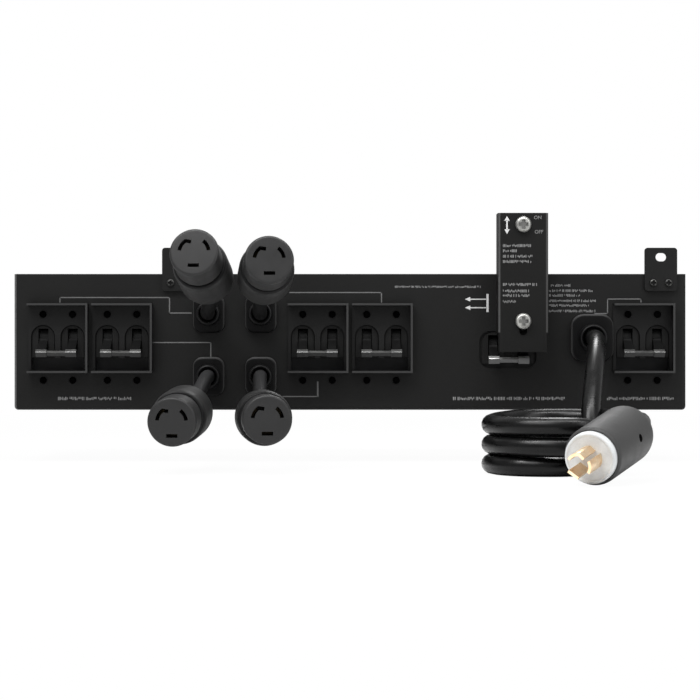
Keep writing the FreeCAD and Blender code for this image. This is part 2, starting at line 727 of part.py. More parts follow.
def plug_face():
    start, top = plug_length - blade_seat, plug_length + plug_face_height
    disc = turned([(0, start), (plug_face_radius, start), (plug_face_radius, top - 0.8),
                   (plug_face_radius - 0.8, top), (0, top)])
    return disc.cut(blade_set(contact_clearance, top - blade_seat, top + 1))


def blade_set(margin, z0, z1):
    """The plug's blades, or with a margin the slots that hold their feet."""
    blades = contact_keys(blade_circle, blade_thickness + 2 * margin, blade_span, straight_slot + 2 * margin,
                          hook_length + margin, z0, z1)
    for blade in blades:
        blade.rotate(Vector(), Vector(0, 0, 1), blade_turn)
    return blades


def plug_blades():
    top = plug_length + plug_face_height
    return blade_set(0, top - blade_seat, top + blade_length)


def terminal_block():
    """A barrier strip on the floor: a block with a trough for each way."""
    (length, width, height), (x, y) = terminal_block_size, terminal_block_place
    block = box(x, x + length, y, y + width, sheet, sheet + height)
    pitch = (length - terminal_wall) / terminal_block_ways
    troughs = [box(x + terminal_wall + k * pitch, x + (k + 1) * pitch,
                   y + terminal_wall, y + width - terminal_wall,
                   sheet + height / 2, sheet + height + 1) for k in range(terminal_block_ways)]
    return block.cut(troughs)


def ground_bar():
    (length, width, height), (x, y) = ground_bar_size, ground_bar_place
    bar = box(x, x + length, y, y + width, sheet, sheet + height)
    pitch = length / ground_holes
    centres = [(x + (k + 0.5) * pitch, y + width / 2, sheet + 1) for k in range(ground_holes)]
    holes = [rod(ground_hole_diameter / 2, centre, Vector(0, 0, 1), height) for centre in centres]
    return bar.cut(holes)


def main():
    os.makedirs("parts", exist_ok=True)
    save("chassis_tray", chassis_tray())
    save("top_cover", top_cover())
    save("mounting_ear_left", mounting_ear(ear_x[0]))
    save("mounting_ear_right", mounting_ear(ear_x[1]))
    save("case_screws", case_screws())

    for name in breaker_x:
        save(f"{name}_breaker_case", breaker_case(name))
        save(f"{name}_breaker_toggles", breaker_toggles(name))
        save(f"{name}_breaker_tie_bar", tie_bar(name))
    for name in GUARDED:
        save(f"{name}_handle_guard", handle_guard(name))
    save("breaker_screws", breaker_screws())

    save("interlock_plate", interlock_plate())
    save("interlock_upper_screw", interlock_screw(-plate_stand - sheet, upper_screw_z, upper_screw_length))
    save("interlock_lower_screw", interlock_lower_screw())
    save("interlock_standoff", interlock_standoff())

    gland_places = [(x, z) for z in pigtail_gland_z for x in pigtail_gland_x]
    contacts = []
    pigtails = zip(gland_places, pigtail_routes, pigtail_yaw_and_pitch)
    for number, ((x, z), route, turn) in enumerate(pigtails, 1):
        yaw, pitch = math.radians(turn[0]), math.radians(turn[1])
        axis = (math.sin(yaw) * math.cos(pitch), -math.cos(yaw) * math.cos(pitch), math.sin(pitch))
        save(f"pigtail_{number}_gland", gland(x, z, pigtail_gland_size, pigtail_barrel, pigtail_diameter))
        save(f"pigtail_{number}_cord", cord_tube(f"pigtail_{number}_cord", route, pigtail_diameter))
        save(f"pigtail_{number}_hood", aim(connector_hood(), route[-1], axis))
        save(f"pigtail_{number}_face", aim(connector_face(), route[-1], axis))
        contacts += [aim(contact, route[-1], axis) for contact in connector_contact_set()]
    save("connector_contacts", Part.makeCompound(contacts))
    save("input_gland", gland(input_gland_x, input_gland_z, input_gland_size, input_barrel, input_diameter))
    nuts = [locknut(x, z, pigtail_barrel) for x, z in gland_places]
    save("gland_locknuts", Part.makeCompound(nuts + [locknut(input_gland_x, input_gland_z, input_barrel)]))

    drop = [(input_gland_x + dx, y, z) for dx, y, z in drop_route]
    tail = [(input_gland_x + dx, y, z) for dx, y, z in tail_route]
    save("input_cord_drop", cord_tube("input_cord_drop", drop, input_diameter))
    save("input_cord_coil", coil_solid())
    save("input_cord_tail", cord_tube("input_cord_tail", tail, input_diameter))
    save("plug_body", aim(plug_body(), tail[-1], plug_axis))
    save("plug_face", aim(plug_face(), tail[-1], plug_axis))
    blades = [aim(blade, tail[-1], plug_axis) for blade in plug_blades()]
    save("plug_blades", Part.makeCompound(blades))

    save("terminal_block", terminal_block())
    save("ground_bar", ground_bar())


main()
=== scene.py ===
# %% [markdown]
# # Rack power distribution unit
# This lesson dresses a power distribution unit: a black rack box whose front panel carries circuit breakers,
# cable glands with locking connectors, a sliding interlock plate and an input cord that lies in a coil and
# ends in a plug. The CAD model comes in as a fixed frame and is never moved. The scene gives its sheet metal,
# mouldings and metals their finishes, replaces the round mouldings and the cords with smoother pieces, and
# prints the panel.
#
# Places are written in millimetres in the panel's own frame, as in the CAD: X from the panel's left edge,
# Y from its front face, with the front looking along -Y, and Z from its bottom edge. One function turns them
# into the metres of the row frame, so the numbers can be read as on a drawing.

import math
import random

import bmesh
import bpy
from mathutils import Matrix, Vector


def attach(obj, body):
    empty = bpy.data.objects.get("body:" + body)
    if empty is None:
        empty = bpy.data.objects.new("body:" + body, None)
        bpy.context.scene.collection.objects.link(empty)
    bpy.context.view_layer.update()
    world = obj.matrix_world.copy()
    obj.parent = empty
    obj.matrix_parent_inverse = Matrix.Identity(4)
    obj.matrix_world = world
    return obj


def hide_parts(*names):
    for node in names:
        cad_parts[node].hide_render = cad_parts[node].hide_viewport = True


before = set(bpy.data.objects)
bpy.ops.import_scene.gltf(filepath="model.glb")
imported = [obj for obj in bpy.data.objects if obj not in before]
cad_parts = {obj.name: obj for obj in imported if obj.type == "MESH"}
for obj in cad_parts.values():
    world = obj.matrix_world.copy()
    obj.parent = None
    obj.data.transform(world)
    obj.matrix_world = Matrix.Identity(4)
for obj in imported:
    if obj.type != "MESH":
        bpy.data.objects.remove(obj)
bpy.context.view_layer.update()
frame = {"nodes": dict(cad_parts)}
nodes = frame["nodes"]
scene = bpy.context.scene
random.seed(7)
MM = 0.001
EAR_MIDDLE = Vector((262.5, 0.0, 98.8))


def at(x, y, z):
    """A place in the panel's frame, in millimetres, as a point of the row frame, in metres."""
    return (Vector((x, y, z)) - EAR_MIDDLE) * MM


print("nodes in the frame:", len(nodes))

# %% [markdown]
# ## Camera
# The photo looks square on at the panel from about 1.3 m, level with the panel's middle. A lens could be
# tried by eye, but here it follows from that distance and from the size of one pixel of the photo on the
# panel, which the known spacing of the breaker poles gives. So every pixel can also be traced back to a place
# on the panel, which the print needs later.

# %% Camera
PIXEL = 0.6473
VIEW_DISTANCE = 1300.0
VIEW_CENTRE = (217.5, 38.8)
PHOTO_SIDE = 700
SENSOR_WIDTH = 36.0
FAR_LIMIT = 20.0

camera_data = bpy.data.cameras.new("camera")
camera_data.sensor_width = SENSOR_WIDTH
camera_data.lens = SENSOR_WIDTH * VIEW_DISTANCE / (PHOTO_SIDE * PIXEL)
camera_data.clip_end = FAR_LIMIT
camera = bpy.data.objects.new("camera", camera_data)
camera.location = at(VIEW_CENTRE[0], -VIEW_DISTANCE, VIEW_CENTRE[1])
camera.rotation_euler = (math.radians(90), 0, 0)
scene.collection.objects.link(camera)
scene.camera = camera
scene.view_settings.view_transform = "Standard"
print("lens", round(camera_data.lens, 1), "mm")

# %% [markdown]
# ## Shader maths
# A finish is a formula of noises and ramps. Written node by node it would be hard to read, so a small class
# wraps a socket and turns operators into Math nodes, and one method makes every other node. Colours go through
# a Mix node, because a Math node would turn them grey.

# %% Shader maths


class Nodes:
    """A node tree, with one method that adds a node and wires its sockets."""

    def __init__(self, tree):
        self.tree = tree

    def node(self, kind, settings, sockets, output=0):
        node = self.tree.nodes.new("ShaderNode" + kind)
        for name, setting in settings.items():
            setattr(node, name, setting)
        for name, term in sockets.items():
            self.set(node.inputs[name], term)
        return None if output is None else Value(self, node.outputs[output])

    def set(self, socket, term):
        if isinstance(term, Value):
            self.tree.links.new(term.socket, socket)
        else:
            socket.default_value = term


class Value:
    """What a socket gives; an expression on values adds Math nodes."""

    def __init__(self, nodes, socket):
        self.nodes = nodes
        self.socket = socket

    def math(self, operation, first, second):
        return self.nodes.node("Math", {"operation": operation}, {0: first, 1: second})

    def __add__(self, other):
        return self.math("ADD", self, other)

    def __sub__(self, other):
        return self.math("SUBTRACT", self, other)

    def __rsub__(self, other):
        return self.math("SUBTRACT", other, self)

    def __mul__(self, other):
        return self.math("MULTIPLY", self, other)

    __radd__ = __add__
    __rmul__ = __mul__

    def __gt__(self, other):
        return self.math("GREATER_THAN", self, other)

    def __lt__(self, other):
        return self.math("LESS_THAN", self, other)

    def at_most(self, other):
        return self.math("MINIMUM", self, other)

    def size(self):
        return self.math("ABSOLUTE", self, 0.0)

    def ramp(self, low, high, to_low=0.0, to_high=1.0):
        limits = {"From Min": low, "From Max": high, "To Min": to_low, "To Max": to_high}
        return self.nodes.node("MapRange", {}, {"Value": self, **limits})

    def colour(self, first, second):
        """Blends two colours by this value."""
        shades = [c if isinstance(c, Value) else (*c, 1.0) for c in (first, second)]
        return self.nodes.node("Mix", {"data_type": "RGBA"}, {0: self, 6: shades[0], 7: shades[1]}, 2)


print("shader maths: values add their own nodes")

# %% [markdown]
# ## A finish
# Every finish is one Principled shader that a few patterns feed. The patterns work on Object coordinates, in
# metres, so their detail keeps its real size on a small screw and on the long panel alike. The way that a
# surface faces is read from its normal, which lets a finish paint a highlight on an edge or a crest.

# %% A finish


class Finish(Nodes):
    """A material with one Principled shader and the patterns that feed it."""

    def __init__(self, name, **constants):
        self.material = bpy.data.materials.new(name)
        self.material.use_nodes = True
        super().__init__(self.material.node_tree)
        self.shader = self.tree.nodes["Principled BSDF"]
        for socket, number in constants.items():
            self.shader.inputs[socket.replace("_", " ")].default_value = number
        self.place = self.node("TexCoord", {}, {}, "Object")

    def axis(self, name):
        return self.node("SeparateXYZ", {}, {0: self.place}, name)

    def noise(self, size_mm, detail=2.0, roughness=0.5, stretch=(1, 1, 1)):
        """Noise whose features are about size_mm across; stretch draws them out along an axis."""
        place = self.node("Mapping", {}, {"Vector": self.place, "Scale": [1 / s for s in stretch]})
        grain = {"Vector": place, "Scale": 1 / (size_mm * MM), "Detail": detail, "Roughness": roughness}
        return self.node("TexNoise", {}, grain, "Fac")

    def facing(self, name):
        """How far the surface looks along an axis."""
        return self.node("SeparateXYZ", {}, {0: self.node("NewGeometry", {}, {}, "Normal")}, name)

    def feed(self, name, value):
        self.set(self.shader.inputs[name], value)
        return self

    def bump(self, height, depth_mm, strength=1.0):
        relief = {"Strength": strength, "Distance": depth_mm * MM, "Height": height}
        return self.feed("Normal", self.node("Bump", {}, relief))


print("a finish has one shader, fed by patterns in metres")

# %% [markdown]
# ## Lamps
# The light is what a product table has. Point lamps would do for a matt object, but black plastic and bright
# metal mostly show the lamps themselves, so each lamp is a rectangle whose reflection is a highlight of the
# right shape: a large soft box above and to the left, a weaker one at the right, a long strip overhead that
# draws the bright lines on the cords and the tie bars, and a small one behind the top that lights the bend of
# the input cord below its gland.

# %% Lamps
LAMPS = (
    ("key", (-300, -700, 1100), (220, -40, 40), (0.9, 0.7), 14.0),
    ("right_fill", (1000, -700, 500), (260, -40, 40), (0.5, 0.9), 4.0),
    ("overhead_strip", (240, -300, 700), (240, -80, 0), (1.0, 0.1), 6.8),
    ("rear_strip", (374, 390, 600), (370, -60, 35), (0.2, 0.3), 2.2),
)


def area_light(name, place, target, size, power):
    """A rectangle of light, its sides in metres and its power in watts, that looks at a target."""
    light = bpy.data.lights.new(name, "AREA")
    light.shape = "RECTANGLE"
    light.size, light.size_y = size
    light.energy = power
    lamp = bpy.data.objects.new(name, light)
    lamp.location = at(*place)
    lamp.rotation_euler = (at(*target) - at(*place)).to_track_quat("-Z", "Y").to_euler()
    scene.collection.objects.link(lamp)


for lamp_row in LAMPS:
    area_light(*lamp_row)
print("lamps:", len(bpy.data.lights))

# %% [markdown]
# ## World
# The object stands before plain white. A white world would also flood it with light and turn black to grey,
# so the world is white only for rays that come from the camera or through clear material, half as bright in
# reflections, and dim for the rest. Light Path tells these rays apart.

# %% World
AMBIENT = 0.22
GLOSSY_SHARE = 0.5

world = bpy.data.worlds.new("white")
scene.world = world
world.use_nodes = True
world.node_tree.nodes.clear()
sky = Nodes(world.node_tree)
seen = sky.node("LightPath", {}, {}, "Is Camera Ray") + sky.node("LightPath", {}, {}, "Is Transmission Ray")
shown = (seen + sky.node("LightPath", {}, {}, "Is Glossy Ray") * GLOSSY_SHARE).at_most(1.0)
brightness = shown.ramp(0, 1, AMBIENT, 1.0)
white = sky.node("Background", {}, {"Color": (1, 1, 1, 1), "Strength": brightness})
sky.node("OutputWorld", {}, {"Surface": white}, None)
print("world nodes:", len(world.node_tree.nodes))

# %% [markdown]
# ## Floor
# The coil and the plug lie on a table that the photo shows as white. With no floor they would float, and a
# plain grey one would show its edge. So the floor is a large pale sheet that the camera sees almost white:
# a small share of its own shading is left near the object, which keeps a faint shadow, and the share fades
# out with distance. For all other rays it is an ordinary pale surface that throws soft light on lower edges.

# %% Floor
FLOOR_Z = -34.0
FLOOR_HALF = 3.0
PALE = (0.8, 0.8, 0.8, 1)
SHADOW_REACH, WHITE_REACH = 0.3, 1.1
WHITE_SHARE = 0.965

floor_bm = bmesh.new()
bmesh.ops.create_grid(floor_bm, x_segments=1, y_segments=1, size=FLOOR_HALF)
bmesh.ops.translate(floor_bm, verts=floor_bm.verts, vec=at(VIEW_CENTRE[0], 0, FLOOR_Z))
floor_mesh = bpy.data.meshes.new("floor")
floor_bm.to_mesh(floor_mesh)
floor_bm.free()
floor_finish = Finish("pale_floor", Roughness=0.9, Specular_IOR_Level=0.0)
floor_finish.shader.inputs["Base Color"].default_value = PALE
reach = floor_finish.node("VectorMath", {"operation": "LENGTH"}, {0: floor_finish.place}, "Value")
camera_ray = floor_finish.node("LightPath", {}, {}, "Is Camera Ray")
glow = camera_ray * reach.ramp(SHADOW_REACH, WHITE_REACH, WHITE_SHARE, 1.0)
paper = floor_finish.node("Emission", {}, {"Color": (1, 1, 1, 1), "Strength": 1.0})
lit = Value(floor_finish, floor_finish.shader.outputs[0])
blend = floor_finish.node("MixShader", {}, {0: glow, 1: lit, 2: paper})
floor_finish.set(floor_finish.tree.nodes["Material Output"].inputs["Surface"], blend)
floor_mesh.materials.append(floor_finish.material)
floor = bpy.data.objects.new("floor", floor_mesh)
scene.collection.objects.link(floor)
print("floor at", round(at(0, 0, FLOOR_Z).z, 4), "m")

# %% [markdown]
# ## Powder coat
# The box, the guards and the interlock plate are folded steel under a black powder coat. It melts into a fine
# orange peel and drifts a little in shade over a hand's width. Cut edges, folds and the panel's rim get a
# painted highlight, a lighter colour where light catches their bends. A picture of such a coat would need
# unwrapping; two noises and the surface's own place and facing give the same, at the right scale on every
# sheet.

# %% Powder coat
NOISE_LOW, NOISE_HIGH = 0.3, 0.7
PEEL, DRIFT = 0.9, 60.0


def grey(level):
    return (level, level, level)


def shaded(shade, factor):
    return [c * factor for c in shade]


def powder_coat(name, shade, edge_highlight=None, fold_highlight=None, rim=None):
    """A black coat; the options paint a highlight of the given colour on a cut edge, a fold or the panel's rim.
    """
    finish = Finish(name, Specular_IOR_Level=0.16)
    peel, drift = finish.noise(PEEL, detail=3.0), finish.noise(DRIFT, detail=2.0)
    base = drift.ramp(NOISE_LOW, NOISE_HIGH).colour(shaded(shade, 0.85), shaded(shade, 1.2))
    # painted highlight: the front of a cut edge is lighter, where light catches it
    if edge_highlight:
        front, bright = edge_highlight
        edge = (finish.axis("Y") < front * MM) * (finish.facing("Y") < -0.7)
        base = edge.colour(base, bright)
    # painted highlight: the rounded sides of a fold, above its foot, are lighter where light catches the bend
    if fold_highlight:
        foot, bright = fold_highlight
        sideways, above = finish.facing("X").size(), finish.axis("Z") > (foot - EAR_MIDDLE.z) * MM
        base = (sideways.ramp(0.3, 0.6) * sideways.ramp(0.97, 0.8) * above).colour(base, bright)
    # painted highlight: a thin strip along the panel's left and bottom edges is lighter, where light catches
    # the bend
    if rim:
        side, foot, bright = rim
        left = finish.axis("X") < (side - EAR_MIDDLE.x) * MM
        low = finish.axis("Z") < (foot - EAR_MIDDLE.z) * MM
        base = ((left + low).at_most(1.0) * (finish.facing("Y") < -0.1)).colour(base, bright)
    finish.feed("Base Color", base)
    finish.feed("Roughness", peel.ramp(NOISE_LOW, NOISE_HIGH, 0.5, 0.62))
    return finish.bump(peel, depth_mm=0.03, strength=0.5).material


PANEL_BLACK = (0.0039, 0.0039, 0.0038)
panel_coat = powder_coat("panel_powder_coat", PANEL_BLACK)
# The chassis's rim, the guards' cut edges and the plate's folds get a painted highlight.
chassis_coat = powder_coat("chassis_powder_coat", PANEL_BLACK, rim=(1.5, 0.4, grey(0.085)))
guard_coat = powder_coat("guard_powder_coat", grey(0.004), edge_highlight=(-8.0, grey(0.027)))
plate_coat = powder_coat("plate_powder_coat", (0.0027, 0.0027, 0.0026), fold_highlight=(50.0, grey(0.06)))
print("finishes so far:", len(bpy.data.materials))

# %% [markdown]
# ## Mouldings
# Breaker cases, toggles, glands, connectors and cord jackets are moulded or extruded plastic. A tool leaves a
# fine spark-eroded grain and cloudy patches of gloss; a jacket is smoother and has a sheen. They differ only
# in shade, grain and gloss, so one function makes them all. What faces up, and in part the sides, may get a
# painted highlight, a lighter colour where the lamps above would light it. What lies in a well behind the front
# may be painted lighter, as painted fill light, because so little light gets there that its shape would be
# lost.

# %% Mouldings
CLOUD = 9.0


def moulding(name, shade, rough, grain=0.35, depth=0.02, gloss=0.3, top_highlight=None, sides=0.0, well=None):
    """A grained plastic with an optional painted highlight on what faces up and the sides, and painted fill
    light in a well.
    """
    finish = Finish(name, Specular_IOR_Level=gloss)
    fine, cloud = finish.noise(grain, detail=3.0, roughness=0.6), finish.noise(CLOUD, detail=3.0)
    mottle = (cloud * 0.6 + fine * 0.4).ramp(NOISE_LOW, NOISE_HIGH)
    base = mottle.colour(shaded(shade, 0.82), shaded(shade, 1.18))
    # painted highlight: what faces up, and the sides in part, are lighter, as the lamps above would light them
    if top_highlight:
        upper = finish.facing("Z").ramp(0.25, 0.8) + finish.facing("X").size().ramp(0.5, 0.9) * sides
        base = upper.at_most(1.0).colour(base, top_highlight)
    # painted fill light: faces deep behind the front are lighter, so that the shade there doesn't hide their
    # shape
    if well:
        front, bare = well
        base = (finish.axis("Y") > front * MM).colour(base, bare)
    finish.feed("Base Color", base)
    finish.feed("Roughness", cloud.ramp(NOISE_LOW, NOISE_HIGH, rough - 0.05, rough + 0.07))
    return finish.bump(fine, depth, strength=0.6).material


BREAKER_BLACK = (0.0045, 0.0045, 0.0044)
breaker_black = moulding("breaker_moulding", BREAKER_BLACK, 0.55, gloss=0.14)
# The cases and the toggles get painted fill light in their wells.
case_black = moulding("breaker_case_moulding", BREAKER_BLACK, 0.55, gloss=0.14,
                      well=(1.5, (0.02, 0.02, 0.021)))
toggle_black = moulding("toggle_moulding", grey(0.0025), 0.55, gloss=0.09, well=(1.0, grey(0.014)))
# The glands' flanges get a painted highlight on their tops and sides.
gland_black = moulding("gland_moulding", (0.0012, 0.0012, 0.0013), 0.45, gloss=0.09, top_highlight=grey(0.045),
                       sides=0.8)
# painted shade: a black for the grooves, mouths, wells and cross recesses, where shade falls
painted_shade_black = moulding("painted_shade_black", (0.0022, 0.0022, 0.0024), 0.45, gloss=0.16)
face_grey = moulding("connector_face_moulding", (0.0105, 0.0105, 0.0107), 0.5)
hood_grey = moulding("connector_hood_moulding", grey(0.009), 0.55)
plug_grey = moulding("plug_moulding", grey(0.03), 0.55, grain=0.8, depth=0.05)
# The input cord's jacket gets a faint painted highlight on top.
jacket = moulding("cord_jacket", (0.0013, 0.0013, 0.0014), 0.28, grain=0.5, depth=0.012, gloss=0.2,
                  top_highlight=grey(0.004))
# The pigtails are painted lighter on top and dark underneath, as painted light and shade from the lamps above.
pigtail_jacket = moulding("pigtail_jacket", (0.004, 0.004, 0.0042), 0.5, grain=0.5, depth=0.012, gloss=0.16,
                          top_highlight=(0.022, 0.022, 0.0227))
white_face = moulding("plug_face_moulding", (0.55, 0.565, 0.57), 0.4, grain=0.6, depth=0.01)
print("finishes so far:", len(bpy.data.materials))

# %% [markdown]
# ## Metals
# Tie bars and screws are plated steel, and the plug's blades are brass. A perfect mirror looks false on parts
# of this size: rolling, turning and plating leave fine marks. A noise that is stretched along the grain gives
# the marks, and a coarser one moves between two close shades. The tie bars' undersides look down into the
# dark guards, so they are painted darker, a painted shade that stands in for what they reflect.

# %% Metals
PLATING_PATCH = 6.0
ALONG_BAR, ALONG_BLADE = (8, 1, 1), (1, 1, 4)


def metal(name, shade, rough, tint, stretch=(1, 1, 1), marks=0.5, underside_shade=None):
    """A worked metal between two shades, with marks drawn out along its grain."""
    finish = Finish(name, Metallic=1.0)
    scratch = finish.noise(marks, detail=4.0, roughness=0.7, stretch=stretch)
    cloud = finish.noise(PLATING_PATCH, detail=3.0)
    base = cloud.ramp(0.35, 0.65).colour(shade, tint)
    # painted shade: faces that look down are darker
    if underside_shade:
        base = finish.facing("Z").ramp(-0.1, 0.75).colour(underside_shade, base)
    finish.feed("Base Color", base)
    finish.feed("Roughness", scratch.ramp(NOISE_LOW, NOISE_HIGH, rough - 0.08, rough + 0.12))
    return finish.bump(scratch, depth_mm=0.01, strength=0.3).material


tie_metal = metal("tie_bar_metal", grey(0.155), 0.4, (0.21, 0.21, 0.206), stretch=ALONG_BAR,
                  underside_shade=grey(0.04))
# painted light: the bypass bar lies in the plate's shade, so its tie metal is a much brighter copy
brightened_tie_metal = metal("brightened_tie_bar_metal", grey(0.5), 0.36, (0.7, 0.7, 0.69), stretch=ALONG_BAR,
                         underside_shade=grey(0.09))
zinc = metal("zinc_plate", (0.26, 0.26, 0.25), 0.42, (0.4, 0.4, 0.38))
# duller and darker zinc: the dullness is real, the darkness is painted shade in the cross recesses
dull_and_shaded_zinc = metal("dull_and_shaded_zinc", (0.19, 0.19, 0.186), 0.45, (0.27, 0.27, 0.26))
dark_steel = metal("black_oxide", (0.001, 0.001, 0.0011), 0.5, (0.002, 0.002, 0.0021))
case_steel = metal("dark_zinc", grey(0.045), 0.4, (0.075, 0.075, 0.072))
brass = metal("brass", (0.84, 0.58, 0.34), 0.3, (0.92, 0.74, 0.52), stretch=ALONG_BLADE)
old_brass = metal("dull_brass", (0.03, 0.024, 0.014), 0.6, (0.04, 0.032, 0.02))
print("finishes so far:", len(bpy.data.materials))

# %% [markdown]
# ## Ink
# The panel is screen printed. Ink is a matt film, so it is made as a moulding with almost no grain, in three
# strengths: thin guide lines, small print, and the bold arrows.

# %% Ink


def ink_film(name, level):
    return moulding(name, grey(level), 0.7, grain=0.6, depth=0.005)


ink = ink_film("panel_ink", 0.1)
letter_ink = ink_film("letter_ink", 0.18)
bright_ink = ink_film("bright_ink", 0.45)
print("finishes:", len(bpy.data.materials))

# %% [markdown]
# ## Dressing the CAD pieces
# The folded sheet, the breakers and the small metal parts are right as the CAD has them. They could be
# modelled again here, but then two shapes would have to agree, so they only get their finishes. The ending of
# a node's name says what it is, the first ending that fits counts, and what is left over is sheet metal.

# %% Dressing the CAD pieces
FINISH_BY_ENDING = (
    ("chassis_tray", chassis_coat),
    ("handle_guard", guard_coat),
    ("interlock_plate", plate_coat),
    ("breaker_case", case_black),
    ("toggles", toggle_black),
    ("terminal_block", breaker_black),
    ("bypass_breaker_tie_bar", brightened_tie_metal),
    ("tie_bar", tie_metal),
    ("screws", dark_steel),
    ("standoff", zinc),
    ("contacts", old_brass),
    ("ground_bar", brass),
    ("gland", gland_black),
    ("locknuts", gland_black),
)
for name, node in nodes.items():
    dressed = next((finish for ending, finish in FINISH_BY_ENDING if name.endswith(ending)), panel_coat)
    node.data.materials.clear()
    node.data.materials.append(dressed)
print("nodes dressed:", len(nodes))

# %% [markdown]
# ## Spun and extruded shapes
# Turned and moulded round pieces are spun from half of their section, and flat outlines are extruded into
# prisms. A moulding has no knife edges, so a section's corners are first rounded off; rounding the section is
# cheaper and cleaner than a bevel on the finished solid.

# %% Spun and extruded shapes
SHARE_OF_SIDE = 0.45
SAME_PLACE = 1e-7


def rounded(profile, radius, steps=4):
    """A profile whose inner corners are replaced by short curves of about the given radius."""
    points = [Vector(p) for p in profile]
    smooth = [points[0]]
    for before, corner, after in zip(points, points[1:], points[2:]):
        reach_in = min(radius, (corner - before).length * SHARE_OF_SIDE)
        reach_out = min(radius, (after - corner).length * SHARE_OF_SIDE)
        start = corner + (before - corner).normalized() * reach_in
        end = corner + (after - corner).normalized() * reach_out
        for k in range(steps + 1):
            t = k / steps
            smooth.append(start * (1 - t) ** 2 + corner * 2 * t * (1 - t) + end * t ** 2)
    return smooth + [points[-1]]


def lathe(profile, segments=72):
    """A solid of revolution about Z from (radius, height) points in millimetres."""
    bm = bmesh.new()
    verts = [bm.verts.new((p[0] * MM, 0, p[1] * MM)) for p in profile]
    edges = [bm.edges.new(pair) for pair in zip(verts, verts[1:])]
    bmesh.ops.spin(bm, geom=verts + edges, cent=(0, 0, 0), axis=(0, 0, 1), angle=2 * math.pi, steps=segments,
                   use_merge=True)
    bmesh.ops.remove_doubles(bm, verts=bm.verts, dist=SAME_PLACE)
    bmesh.ops.recalc_face_normals(bm, faces=bm.faces)
    return bm


def prism(outline, z0, z1):
    """A prism along Z from a closed outline of (x, y) points in millimetres."""
    bm = bmesh.new()
    face = bm.faces.new([bm.verts.new((x * MM, y * MM, z0 * MM)) for x, y in outline])
    grown = bmesh.ops.extrude_face_region(bm, geom=[face])["geom"]
    far_end = [g for g in grown if isinstance(g, bmesh.types.BMVert)]
    bmesh.ops.translate(bm, verts=far_end, vec=(0, 0, (z1 - z0) * MM))
    bmesh.ops.recalc_face_normals(bm, faces=bm.faces)
    return bm


def block(x0, x1, y0, y1, z0, z1):
    return prism([(x0, y0), (x1, y0), (x1, y1), (x0, y1)], z0, z1)


print("shapes can be spun and extruded")

# %% [markdown]
# ## Cut and placed shapes
# Slots, recesses and screw wells are real holes, so they are cut with a boolean rather than drawn as dark
# patches, and they look right from every side. The cutters are joined first, so each piece is cut once. A
# finished piece sits at the origin with its place in its mesh, as the CAD nodes do, and rides on a body.

# %% Cut and placed shapes
HOUSING = "housing"


def merged(parts):
    whole = bmesh.new()
    for part in parts:
        mesh = bpy.data.meshes.new("part")
        part.to_mesh(mesh)
        part.free()
        whole.from_mesh(mesh)
        bpy.data.meshes.remove(mesh)
    return whole


def carve(body, cutters):
    """The body with every cutter taken away, as a bmesh."""
    objects = []
    for name, bm in (("body", body), ("cutters", merged(cutters))):
        mesh = bpy.data.meshes.new(name)
        bm.to_mesh(mesh)
        bm.free()
        objects.append(bpy.data.objects.new(name, mesh))
        scene.collection.objects.link(objects[-1])
    cut = objects[0].modifiers.new("cut", "BOOLEAN")
    cut.object = objects[1]
    cut.operation = "DIFFERENCE"
    cut.solver = "EXACT"
    cut.use_self = True
    bpy.context.view_layer.update()
    depsgraph = bpy.context.evaluated_depsgraph_get()
    result = bpy.data.meshes.new_from_object(objects[0].evaluated_get(depsgraph))
    carved = bmesh.new()
    carved.from_mesh(result)
    for obj in objects:
        mesh = obj.data
        bpy.data.objects.remove(obj)
        bpy.data.meshes.remove(mesh)
    bpy.data.meshes.remove(result)
    return carved


def aimed(place, axis):
    """The matrix that takes +Z to axis at place, with X to the viewer's right and Y up."""
    forward = Vector(axis).normalized()
    across = Vector((0, 0, 1)).cross(forward).normalized()
    upward = forward.cross(across)
    turn = Matrix((across, upward, forward)).transposed().to_4x4()
    return Matrix.Translation(at(*place)) @ turn


def piece(name, bm, finish, body=HOUSING, matrix=None, replaces=(), slot=None, angle=35):
    """Turns a bmesh into an object at the origin that rides on a body."""
    if matrix is not None:
        bmesh.ops.transform(bm, matrix=matrix, verts=bm.verts)
    mesh = bpy.data.meshes.new(name)
    bm.to_mesh(mesh)
    bm.free()
    mesh.shade_smooth()
    mesh.set_sharp_from_angle(angle=math.radians(angle))
    mesh.materials.append(finish)
    obj = bpy.data.objects.new(name, mesh)
    scene.collection.objects.link(obj)
    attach(obj, body)
    if replaces:
        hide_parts(*replaces)
    return obj


print("pieces can be cut, placed and made to ride on a body")

# %% [markdown]
# ## Keys of a locking connector
# A locking connector has three keys on a circle, a hooked one, a curved one and a straight one, and is turned
# to lock. The sockets' slots and the plug's blades are the same three shapes, so one function makes them as
# prisms: the connectors cut with them, and the plug wears them in brass.

# %% Keys of a locking connector
HOOKED_AT, CURVED_AT = 150, 30
HOOK_DIRECTION = -10.0
HOOK_OVERLAP = 0.3
BAR_INSET = 0.6
SLIVER = 0.013


def arc_outline(radius, thickness, middle, span, steps=10):
    angles = [math.radians(middle - span / 2 + span * k / steps) for k in range(steps + 1)]
    far, near = radius + thickness / 2, radius - thickness / 2
    outer = [(far * math.cos(a), far * math.sin(a)) for a in angles]
    inner = [(near * math.cos(a), near * math.sin(a)) for a in angles]
    return outer + inner[::-1]


